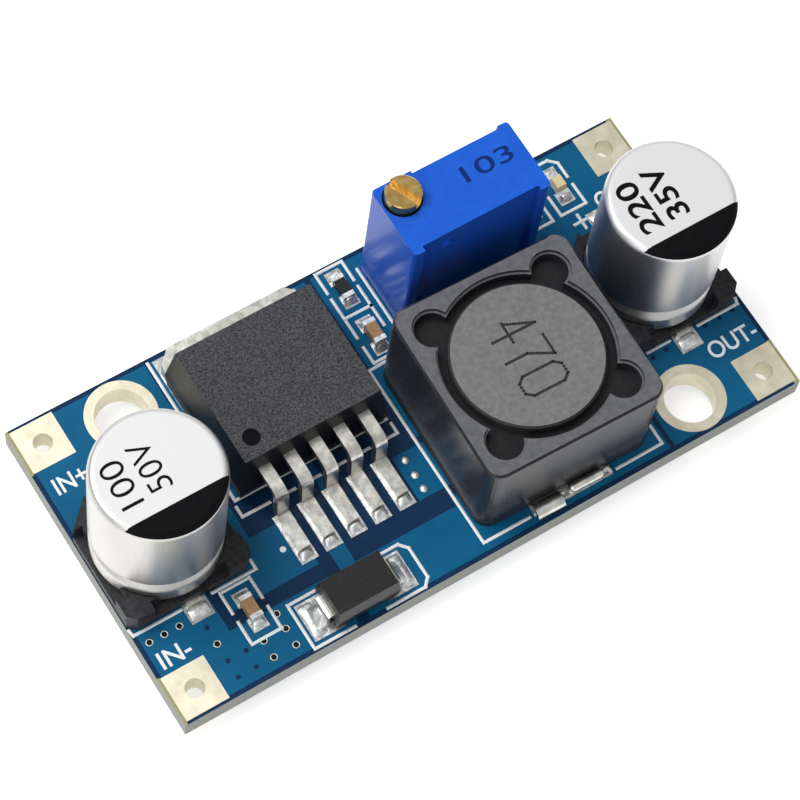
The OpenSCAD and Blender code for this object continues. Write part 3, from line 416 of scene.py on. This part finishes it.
def newTree(name, inputs):
    tree = bpy.data.node_groups.new(name, "GeometryNodeTree")
    sockets = tree.interface
    sockets.new_socket("Geometry", in_out="INPUT", socket_type="NodeSocketGeometry")
    for label, value in inputs.items():
        socket = sockets.new_socket(label, in_out="INPUT", socket_type="NodeSocketFloat")
        socket.default_value = value
    sockets.new_socket("Material", in_out="INPUT", socket_type="NodeSocketMaterial")
    sockets.new_socket("Geometry", in_out="OUTPUT", socket_type="NodeSocketGeometry")
    return tree, tree.nodes.new("NodeGroupInput"), tree.nodes.new("NodeGroupOutput")


def closeTree(tree, start, finished, result):
    realize = tree.nodes.new("GeometryNodeRealizeInstances")
    paint = tree.nodes.new("GeometryNodeSetMaterial")
    tree.links.new(result, realize.inputs[0])
    tree.links.new(realize.outputs[0], paint.inputs["Geometry"])
    tree.links.new(start.outputs["Material"], paint.inputs["Material"])
    tree.links.new(paint.outputs[0], finished.inputs[0])


def growPiece(name, mesh, tree, values, finish, body="module", smooth=False):
    thing = bpy.data.objects.new(name + "Seed", mesh)
    bpy.context.scene.collection.objects.link(thing)
    modifier = thing.modifiers.new("grow", "NODES")
    modifier.node_group = tree
    for item in tree.interface.items_tree:
        if item.in_out != "INPUT" or item.name == "Geometry":
            continue
        modifier[item.identifier] = (finishes[finish] if item.name == "Material"
                                     else values[item.name] * mm)
    grown = evaluatedMesh(thing)
    bpy.data.objects.remove(thing)
    return addPiece(name, grown, finish, body, smooth)


def pointMesh(places):
    mesh = bpy.data.meshes.new("places")
    mesh.from_pydata(places, [], [])
    return mesh


# Rings: a flattened wire bent round each point
def ringTree():
    tree, start, finished = newTree("rings", {"Ring radius": 0.2 * mm, "Wire radius": 0.05 * mm})
    circle = tree.nodes.new("GeometryNodeCurvePrimitiveCircle")
    circle.inputs["Resolution"].default_value = 20
    wire = tree.nodes.new("GeometryNodeCurvePrimitiveCircle")
    wire.inputs["Resolution"].default_value = 8
    tube = tree.nodes.new("GeometryNodeCurveToMesh")
    flat = tree.nodes.new("GeometryNodeTransform")
    flat.inputs["Scale"].default_value = (1, 1, 0.5)
    copies = tree.nodes.new("GeometryNodeInstanceOnPoints")
    tree.links.new(start.outputs["Ring radius"], circle.inputs["Radius"])
    tree.links.new(start.outputs["Wire radius"], wire.inputs["Radius"])
    tree.links.new(circle.outputs["Curve"], tube.inputs["Curve"])
    tree.links.new(wire.outputs["Curve"], tube.inputs["Profile Curve"])
    tree.links.new(tube.outputs[0], flat.inputs["Geometry"])
    tree.links.new(flat.outputs[0], copies.inputs["Instance"])
    tree.links.new(start.outputs["Geometry"], copies.inputs["Points"])
    closeTree(tree, start, finished, copies.outputs[0])
    return tree


# Low domes, or discs where the height is small
def domeTree():
    tree, start, finished = newTree("domes", {"Radius": 0.2 * mm, "Height": 0.05 * mm})
    ball = tree.nodes.new("GeometryNodeMeshUVSphere")
    ball.inputs["Segments"].default_value = 16
    ball.inputs["Rings"].default_value = 8
    ball.inputs["Radius"].default_value = 1
    size = tree.nodes.new("ShaderNodeCombineXYZ")
    flat = tree.nodes.new("GeometryNodeTransform")
    copies = tree.nodes.new("GeometryNodeInstanceOnPoints")
    tree.links.new(start.outputs["Radius"], size.inputs["X"])
    tree.links.new(start.outputs["Radius"], size.inputs["Y"])
    tree.links.new(start.outputs["Height"], size.inputs["Z"])
    tree.links.new(ball.outputs["Mesh"], flat.inputs["Geometry"])
    tree.links.new(size.outputs[0], flat.inputs["Scale"])
    tree.links.new(flat.outputs[0], copies.inputs["Instance"])
    tree.links.new(start.outputs["Geometry"], copies.inputs["Points"])
    closeTree(tree, start, finished, copies.outputs[0])
    return tree


# Bars: a flat strip along each edge of the drawing
def strokeTree():
    tree, start, finished = newTree("strokes", {"Width": 0.2 * mm, "Height": 0.05 * mm})
    toCurve = tree.nodes.new("GeometryNodeMeshToCurve")
    upright = tree.nodes.new("GeometryNodeSetCurveNormal")
    upright.mode = "Z_UP"
    section = tree.nodes.new("GeometryNodeCurvePrimitiveQuadrilateral")
    sweep = tree.nodes.new("GeometryNodeCurveToMesh")
    sweep.inputs["Fill Caps"].default_value = True
    tree.links.new(start.outputs["Geometry"], toCurve.inputs["Mesh"])
    tree.links.new(toCurve.outputs[0], upright.inputs["Curve"])
    tree.links.new(upright.outputs[0], sweep.inputs["Curve"])
    tree.links.new(start.outputs["Width"], section.inputs["Width"])
    tree.links.new(start.outputs["Height"], section.inputs["Height"])
    tree.links.new(section.outputs[0], sweep.inputs["Profile Curve"])
    closeTree(tree, start, finished, sweep.outputs[0])
    return tree


rings, domes, strokes = ringTree(), domeTree(), strokeTree()


# Flat plate from outlines and round holes; points in mm on the board
def platePiece(name, outlines, holes, low, high, finish):
    curve = bpy.data.curves.new(name, "CURVE")
    curve.dimensions = "2D"
    curve.fill_mode = "BOTH"
    curve.extrude = (high - low) / 2 * mm
    ringSteps = 32
    rounds = [[(x + r * math.cos(2 * math.pi * i / ringSteps),
                y + r * math.sin(2 * math.pi * i / ringSteps)) for i in range(ringSteps)]
              for x, y, r in holes]
    for outline in outlines + rounds:
        line = curve.splines.new("POLY")
        line.points.add(len(outline) - 1)
        for point, (x, y) in zip(line.points, outline):
            at = spot(x, y)
            point.co = (at.x, at.y, 0, 1)
        line.use_cyclic_u = True
    thing = bpy.data.objects.new(name, curve)
    bpy.context.scene.collection.objects.link(thing)
    mesh = evaluatedMesh(thing)
    bpy.data.objects.remove(thing)
    mesh.transform(Matrix.Translation((0, 0, boardHigh.z + (low + high) / 2 * mm)))
    return addPiece(name, mesh, finish)


# Raised lettering: middle of the words, their length and height in mm, and their turn
def letteringPiece(name, words, place, length, height, turn, thick, finish,
                   weight=0.0, body="module"):
    curve = bpy.data.curves.new(name, "FONT")
    curve.body = words
    curve.offset = weight
    curve.extrude = 0.5
    thing = bpy.data.objects.new(name, curve)
    bpy.context.scene.collection.objects.link(thing)
    mesh = evaluatedMesh(thing)
    bpy.data.objects.remove(thing)
    xs = [v.co.x for v in mesh.vertices]
    ys = [v.co.y for v in mesh.vertices]
    center = Vector(((min(xs) + max(xs)) / 2, (min(ys) + max(ys)) / 2, 0))
    size = (length / (max(xs) - min(xs)) * mm, height / (max(ys) - min(ys)) * mm, thick * mm)
    mesh.transform(Matrix.Translation(place) @ Matrix.Rotation(math.radians(turn), 4, "Z")
                   @ Matrix.Diagonal((*size, 1)) @ Matrix.Translation(-center))
    return addPiece(name, mesh, finish, body)


# Copper under the solder mask, and the bare fibre strips by the pads
copper = {
    "low": 0.0, "high": 0.03, "edge": 0.3,
    "mountHoles": ((6.53, 18.65, 2.0), (36.87, 2.43, 2.0)),
    "wireHoles": ((1.605, 1.68, 0.9), (1.605, 19.4, 0.9), (41.795, 1.68, 0.9),
                  (41.795, 19.4, 0.9)),
    "pinHoles": {"x": 28.765, "pitch": 2.54, "y": 17.5, "radius": 1.15},
    "stripLength": 3.25, "inputStrip": 0.17, "outputStrip": 0.4, "stripHigh": 0.02,
}


def makeCopper():
    edge, far, back = copper["edge"], boardLength - copper["edge"], boardWidth - copper["edge"]
    pours = {
        "groundPour": [(edge, edge), (11.85, edge), (11.85, 3.65), (5.1, 3.65), (5.1, 8.6),
                       (edge, 8.6)],
        "supplyPour": [(5.85, 4.6), (11.75, 4.6), (11.75, 8.05), (9.05, 8.05), (9.05, 14.3),
                       (9.35, 14.3), (9.35, back), (edge, back), (edge, 9.0), (5.85, 9.0)],
        "switchPour": [(12.65, edge), (34.0, edge), (34.0, 4.3), (20.9, 4.3), (20.9, 3.65),
                       (13.7, 3.65), (13.7, 5.2), (12.65, 5.2)],
        "senseStub": [(14.3, 8.1), (14.75, 8.1), (14.75, 12.0), (14.3, 12.0)],
        "enablePour": [(19.0, 5.0), (21.2, 5.0), (21.2, 8.15), (19.0, 8.15)],
        "outputGroundPour": [(34.3, edge), (far, edge), (far, 8.9), (34.3, 8.9)],
        "outputPour": [(20.95, 8.6), (21.5, 8.6), (21.5, 5.0), (34.0, 5.0), (34.0, 9.3),
                       (far, 9.3), (far, back), (20.95, back)],
        "tabPour": [(9.6, 10.6), (14.1, 10.6), (14.1, 12.2), (20.6, 12.2), (20.6, back),
                    (9.6, back)],
    }
    holes = list(copper["mountHoles"]) + list(copper["wireHoles"])
    for name, outline in pours.items():
        xs, ys = [p[0] for p in outline], [p[1] for p in outline]
        inside = [h for h in holes if min(xs) < h[0] < max(xs) and min(ys) < h[1] < max(ys)]
        platePiece(name, [outline], inside, copper["low"], copper["high"], "mask")
    under = -(boardHigh.z - boardLow.z) / mm
    pins = copper["pinHoles"]
    pinHoles = [(pins["x"] + i * pins["pitch"], pins["y"], pins["radius"]) for i in (-1, 0, 1)]
    platePiece("undersidePour", [[(edge, edge), (far, edge), (far, back), (edge, back)]],
               holes + pinHoles, under - copper["high"], under, "mask")
    stripLong = copper["stripLength"]
    ends = {"In": (0, copper["inputStrip"]),
            "Out": (boardLength - copper["outputStrip"], boardLength)}
    sides = {"Minus": (0, stripLong), "Plus": (boardWidth - stripLong, boardWidth)}
    for end, (a, b) in ends.items():
        for side, (c, d) in sides.items():
            platePiece("bareStrip" + end + side, [[(a, c), (b, c), (b, d), (a, d)]], [],
                       0, copper["stripHigh"], "bareFibre")


makeCopper()
print("copper ready")


# Printed legend: lines as corner points, labels as words, place, length, height and weight
legend = {
    "width": 0.2, "height": 0.05, "step": 0.004,
    "lines": (
        ((0.1, 6.6), (0.15, 6.2), (3.3, 6.2)), ((5.45, 6.2), (8.4, 6.2), (8.4, 6.8)),
        ((5.8, 3.85), (5.8, 2.3), (7.8, 2.3), (7.8, 3.85)),
        ((5.8, 4.5), (5.8, 5.95), (7.8, 5.95), (7.8, 4.5)),
        ((11.55, 0.22), (8.8, 0.22), (8.8, 3.3), (11.0, 3.3)),
        ((15.2, 3.3), (16.4, 3.3), (16.85, 2.8), (16.85, 0.7), (16.4, 0.22), (13.8, 0.22)),
        ((9.4, 10.1), (9.4, 9.4), (11.25, 9.4)), ((12.35, 9.4), (13.0, 9.4)),
        ((14.1, 9.4), (14.75, 9.4)), ((15.85, 9.4), (16.5, 9.4)), ((17.6, 9.4), (18.2, 9.4)),
        ((19.3, 9.4), (20.2, 9.4), (20.2, 10.1)), ((9.55, 10.5), (9.55, 20.75)),
        ((9.55, 10.5), (20.1, 10.5)), ((23.3, 18.9), (23.3, 17.4), (21.4, 17.4), (21.4, 18.9)),
        ((21.4, 19.4), (21.4, 20.85), (23.3, 20.85), (23.3, 19.4)),
        ((21.4, 17.4), (21.4, 15.95)), ((21.4, 15.2), (21.4, 14.0), (23.3, 14.0)),
        ((23.3, 17.4), (23.3, 15.9)), ((23.85, 15.8), (23.85, 19.9)),
        ((22.1, 13.75), (20.87, 13.7), (20.87, 0.82), (24.1, 0.82)),
        ((30.4, 0.82), (33.7, 0.82), (33.7, 2.1)),
        ((36.85, 18.2), (36.85, 16.75), (38.7, 16.75), (38.7, 18.25)),
        ((38.7, 18.9), (38.7, 20.0), (38.2, 20.45), (36.85, 20.45), (36.85, 19.4)),
        ((36.2, 17.9), (36.2, 16.7), (34.8, 16.7)),
        ((37.25, 15.8), (38.25, 15.8)), ((37.75, 15.3), (37.75, 16.3)),
        ((36.3, 6.25), (37.9, 6.25)), ((40.05, 6.25), (43.0, 6.25), (43.1, 6.6)),
    ),
    "labels": (("IN-", 1.65, 4.05, 2.0, 1.1, 0.012), ("IN+", 1.85, 16.5, 2.1, 1.1, 0.012),
               ("OUT-", 41.3, 4.35, 3.4, 1.15, 0.012), ("OUT+", 41.0, 16.45, 3.5, 1.15, 0.012)),
    "firstPinDot": (10.4, 6.45, 0.25),
}


def makeLegend():
    reach = legend["width"] / 2
    corners, bars = [], []
    for line in legend["lines"]:
        for (ax, ay), (bx, by) in zip(line, line[1:]):
            along = Vector((bx - ax, by - ay)).normalized() * reach
            level = legend["height"] / 2 + len(bars) % 2 * legend["step"]
            corners.append(spot(ax - along.x, ay - along.y, level))
            corners.append(spot(bx + along.x, by + along.y, level))
            bars.append((len(corners) - 2, len(corners) - 1))
    drawing = bpy.data.meshes.new("legendDrawing")
    drawing.from_pydata(corners, bars, [])
    growPiece("legendLines", drawing, strokes,
              {"Width": legend["width"], "Height": legend["height"]}, "ink")
    for i, (words, x, y, length, height, weight) in enumerate(legend["labels"]):
        letteringPiece("legendLabel" + str(i + 1), words, spot(x, y, legend["height"] / 2),
                       length, height, 0, legend["height"], "ink", weight)
    x, y, r = legend["firstPinDot"]
    growPiece("firstPinDot", pointMesh([spot(x, y)]), domes,
              {"Radius": r, "Height": legend["height"]}, "ink")


makeLegend()
print("legend ready")


# Small plated holes: open ones, tented ones and the ones filled with solder
vias = {
    "ringRadius": 0.2, "wireRadius": 0.03, "holeRadius": 0.16, "domeRadius": 0.27,
    "domeHeight": 0.13, "lift": 0.03,
    "open": ((0.75, 5.4), (1.75, 5.4), (2.75, 5.4), (4.08, 3.35), (6.5, 2.15), (6.5, 1.0),
             (8.0, 3.2), (8.0, 2.15), (8.0, 1.0)),
    "tented": ((4.08, 4.5), (4.08, 2.15), (4.08, 1.0), (5.3, 2.15), (5.3, 1.0), (36.4, 5.8),
               (37.4, 5.85), (40.4, 6.0), (41.5, 6.0), (42.5, 6.0)),
    "filled": ((19.65, 7.65), (19.65, 6.55), (19.65, 5.55)),
}


def makeVias():
    lift = vias["lift"]
    opened = [spot(x, y, lift) for x, y in vias["open"]]
    growPiece("viaRings", pointMesh(opened), rings,
              {"Ring radius": vias["ringRadius"], "Wire radius": vias["wireRadius"]},
              "tin", smooth=True)
    # the open holes' insides: flat near-black discs, painted shade
    growPiece("viaHoleShade", pointMesh(opened), domes,
              {"Radius": vias["holeRadius"], "Height": 0.01}, "drilled")
    growPiece("tentedHoles", pointMesh([spot(x, y, lift) for x, y in vias["tented"]]), domes,
              {"Radius": vias["holeRadius"], "Height": 0.01}, "tented")
    filled = [spot(x, y, lift) for x, y in vias["filled"]]
    growPiece("filledViaRims", pointMesh(filled), rings,
              {"Ring radius": vias["domeRadius"], "Wire radius": 0.05}, "mask",
              smooth=True)
    growPiece("filledVias", pointMesh(filled), domes,
              {"Radius": vias["domeRadius"], "Height": vias["domeHeight"]}, "solder",
              smooth=True)


# Tin that lines each drilled hole from land to land
linings = {"wall": 0.02, "inside": 0.012, "reach": 0.05, "steps": 40,
           "holes": ((6.53, 18.65, 1.65), (36.87, 2.43, 1.65), (1.605, 1.68, 0.6),
                     (1.605, 19.4, 0.6), (41.795, 1.68, 0.6), (41.795, 19.4, 0.6))}


def makeLinings():
    mesh = bmesh.new()
    thick = (boardHigh.z - boardLow.z) / mm
    for x, y, r in linings["holes"]:
        rounds = []
        for radius, z in ((r - linings["inside"], linings["reach"]),
                          (r - linings["inside"] + linings["wall"], linings["reach"]),
                          (r - linings["inside"] + linings["wall"], -thick - linings["reach"]),
                          (r - linings["inside"], -thick - linings["reach"])):
            turns = [2 * math.pi * i / linings["steps"] for i in range(linings["steps"])]
            rounds.append([mesh.verts.new(spot(x + radius * math.cos(a),
                                               y + radius * math.sin(a), z)) for a in turns])
        for one, other in zip(rounds, rounds[1:] + rounds[:1]):
            for i in range(linings["steps"]):
                j = (i + 1) % linings["steps"]
                mesh.faces.new((one[i], one[j], other[j], other[i]))
    bmesh.ops.recalc_face_normals(mesh, faces=mesh.faces)
    plain = bpy.data.meshes.new("holeLinings")
    mesh.to_mesh(plain)
    mesh.free()
    addPiece("holeLinings", plain, "tin")


makeVias()
makeLinings()
print("plated holes ready")


solder = {
    "steps": 12, "land": 0.1, "sunk": 0.02, "seed": 7, "ripple": 0.08,
    "leads": {"x": 14.82, "pitch": 1.7, "y": 5.45, "size": (0.95, 0.7, 0.2), "lean": 0.9},
    "cans": {"y": 10.54, "out": 4.95, "size": (1.45, 0.9, 0.13), "lean": 0.6},
    "diode": {"x": 12.6, "y": 1.78, "collarOut": 2.72, "collar": (1.0, 1.7, 0.62),
              "lean": 0.9, "skirtOut": 3.0, "skirt": (1.0, 2.3, 0.16)},
    "chips": {"out": 0.98, "size": (0.95, 0.55, 0.3), "lean": 0.8,
              "places": ((6.78, 4.14), (22.35, 19.2), (22.35, 15.6), (37.75, 18.6),
                         (35.25, 18.6))},
    "coil": {"x": 24.75, "step": 0.62, "count": 9, "y": 1.02, "size": (0.75, 0.62),
             "height": 0.16, "more": 0.08, "lean": 0.5},
}


# A heap of solder; lean moves its top to one side
def addHeap(mesh, x, y, size, lean, chance):
    length, width, height = size
    n = solder["steps"]
    grid = []
    for i in range(n + 1):
        row = []
        for j in range(n + 1):
            u, v = 2 * i / n - 1, 2 * j / n - 1
            lift = (1 - abs(u) ** 3) * (1 - abs(v) ** 3)
            lift *= 1 + lean[0] * u + lean[1] * v + chance.uniform(-1, 1) * solder["ripple"]
            row.append(mesh.verts.new(spot(x + u * length / 2, y + v * width / 2,
                                           solder["land"] + max(lift, 0) * height
                                           - solder["sunk"])))
        grid.append(row)
    for i in range(n):
        for j in range(n):
            mesh.faces.new((grid[i][j], grid[i + 1][j], grid[i + 1][j + 1], grid[i][j + 1]))
    rim = ([grid[i][0] for i in range(n)] + [grid[n][j] for j in range(n)]
           + [grid[i][n] for i in range(n, 0, -1)] + [grid[0][j] for j in range(n, 0, -1)])
    mesh.faces.new(rim[::-1])


def makeSolder():
    chance = random.Random(solder["seed"])
    mesh = bmesh.new()
    leads, cans, diode = solder["leads"], solder["cans"], solder["diode"]
    chips, coil = solder["chips"], solder["coil"]
    for i in (-2, -1, 0, 1, 2):
        addHeap(mesh, leads["x"] + i * leads["pitch"], leads["y"], leads["size"],
                (0, leads["lean"]), chance)
    for node in ("input_cap_can", "output_cap_can"):
        x = (middle(node).x - boardLow.x) / mm
        for side in (-1, 1):
            addHeap(mesh, x, cans["y"] + side * cans["out"], cans["size"],
                    (0, -side * cans["lean"]), chance)
    for side in (-1, 1):
        addHeap(mesh, diode["x"] + side * diode["collarOut"], diode["y"], diode["collar"],
                (-side * diode["lean"], 0), chance)
        addHeap(mesh, diode["x"] + side * diode["skirtOut"], diode["y"], diode["skirt"],
                (0, 0), chance)
    for x, y in chips["places"]:
        for side in (-1, 1):
            addHeap(mesh, x, y + side * chips["out"], chips["size"],
                    (0, -side * chips["lean"]), chance)
    for i in range(coil["count"]):
        height = coil["height"] + coil["more"] * chance.random()
        addHeap(mesh, coil["x"] + i * coil["step"], coil["y"], (*coil["size"], height),
                (0, coil["lean"]), chance)
    plain = bpy.data.meshes.new("solderHeaps")
    bmesh.ops.recalc_face_normals(mesh, faces=mesh.faces)
    mesh.to_mesh(plain)
    mesh.free()
    addPiece("solderHeaps", plain, "solder", smooth=True)


makeSolder()
print("solder ready")


# Prints on the cans
canPrint = {
    "thick": 0.02, "height": 1.4, "chord": 2.1, "canRadius": 4.0, "shoulder": 0.5,
    "moonReach": 3.95, "moonSteps": 28,
    "input": (("100", -2.2, 0.35, 2.95), ("50V", -0.3, 0.5, 3.15)),
    "output": (("220", -2.1, 0.4, 3.55), ("35V", -0.2, 0.5, 3.6)),
    "weights": {"input": -0.008, "output": 0.016},
}


# Printed half-moon: a patch that runs from its chord over the can's rolled shoulder
def makeMoon(name, center, top):
    reach, chord, n = canPrint["moonReach"], canPrint["chord"], canPrint["moonSteps"]
    bend, flat = canPrint["shoulder"], canPrint["canRadius"] - canPrint["shoulder"]
    widest = math.sqrt(reach ** 2 - chord ** 2) - 0.02
    mesh = bmesh.new()
    grid = []
    for i in range(n + 1):
        x = widest * (2 * i / n - 1)
        rim = math.sqrt(reach ** 2 - x ** 2)
        row = []
        for j in range(n // 2 + 1):
            y = -chord - (rim - chord) * j / (n // 2)
            out = max(math.hypot(x, y) - flat, 0)
            z = math.sqrt(bend ** 2 - out ** 2) - bend + canPrint["thick"]
            row.append(mesh.verts.new((center.x + x * mm, center.y + y * mm, top + z * mm)))
        grid.append(row)
    for i in range(n):
        for j in range(n // 2):
            mesh.faces.new((grid[i][j], grid[i][j + 1], grid[i + 1][j + 1], grid[i + 1][j]))
    edges = bmesh.ops.extrude_face_region(mesh, geom=list(mesh.faces))["geom"]
    drop = [v for v in edges if isinstance(v, bmesh.types.BMVert)]
    bmesh.ops.translate(mesh, verts=drop, vec=(0, 0, -1.5 * canPrint["thick"] * mm))
    bmesh.ops.recalc_face_normals(mesh, faces=mesh.faces)
    plain = bpy.data.meshes.new(name)
    mesh.to_mesh(plain)
    mesh.free()
    addPiece(name, plain, "blackInk")


def makeCanPrints():
    for end in ("input", "output"):
        node = end + "_cap_can"
        center, top = middle(node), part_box(node)[1].z
        makeMoon(end + "CanMoon", center, top)
        for i, (words, dx, dy, length) in enumerate(canPrint[end]):
            place = Vector((center.x + dx * mm, center.y + dy * mm, top))
            letteringPiece(end + "CanPrint" + str(i + 1), words, place, length,
                           canPrint["height"], 90, 2 * canPrint["thick"], "blackInk",
                           canPrint["weights"][end])


trimmerPrint = {"words": "103", "place": (30.95, 18.15), "length": 3.4, "height": 1.1,
                "thick": 0.02}


def makeTrimmerPrint():
    x, y = trimmerPrint["place"]
    place = spot(x, y)
    place.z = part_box("trimmer_housing")[1].z
    letteringPiece("trimmerPrint", trimmerPrint["words"], place, trimmerPrint["length"],
                   trimmerPrint["height"], 0, trimmerPrint["thick"], "nylonInk",
                   0.004)


# Dots of an ink-jet print on the coil's core, laid out on a small grid
corePrint = {
    "dotRadius": 0.105, "dotHeight": 0.008, "height": 2.9, "width": 1.35, "pitch": 1.75,
    "turn": -91.3, "step": 0.17,
    "digits": ((((0, 0.38), (1, 0.38)), ((0.62, 0), (0.62, 1)), ((0.1, 0.42), (0.62, 1))),
               (((0, 1), (1, 1)), ((1, 1), (0.45, 0.5)), ((0.45, 0.5), (0.45, 0))),
               (((0.25, 0), (0.75, 0)), ((0.75, 0), (1, 0.14)), ((1, 0.14), (1, 0.86)),
                ((1, 0.86), (0.75, 1)), ((0.75, 1), (0.25, 1)), ((0.25, 1), (0, 0.86)),
                ((0, 0.86), (0, 0.14)), ((0, 0.14), (0.25, 0)))),
}


def makeCorePrint():
    center, top = middle("inductor_core"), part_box("inductor_core")[1].z
    turn = Matrix.Rotation(math.radians(corePrint["turn"]), 2)
    places = []
    for digit, lines in enumerate(corePrint["digits"]):
        for (ax, ay), (bx, by) in lines:
            length = Vector(((bx - ax) * corePrint["width"], (by - ay) * corePrint["height"]))
            count = max(int(length.length / corePrint["step"]), 1)
            for i in range(count + 1):
                x = (ax + (bx - ax) * i / count - 0.5) * corePrint["width"]
                y = (ay + (by - ay) * i / count - 0.5) * corePrint["height"]
                at = turn @ Vector((x + (digit - 1) * corePrint["pitch"], y))
                places.append((center.x + at.x * mm, center.y + at.y * mm, top))
    growPiece("corePrint", pointMesh(places), domes,
              {"Radius": corePrint["dotRadius"], "Height": corePrint["dotHeight"]},
              "greyInk")


# The polished floor of the round mark by the regulator's first lead
firstLead = {"radius": 0.53, "height": 0.02, "depth": 0.1, "inset": 1.6}


def makeFirstLeadMark():
    low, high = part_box("regulator_body")
    inset = firstLead["inset"] * mm
    place = (low.x + inset, low.y + inset, high.z - firstLead["depth"] * mm)
    growPiece("firstLeadMark", pointMesh([place]), domes,
              {"Radius": firstLead["radius"], "Height": firstLead["height"]},
              "blackInk")


makeCanPrints()
makeTrimmerPrint()
makeCorePrint()
makeFirstLeadMark()
print("prints ready")

print("all pieces ready")
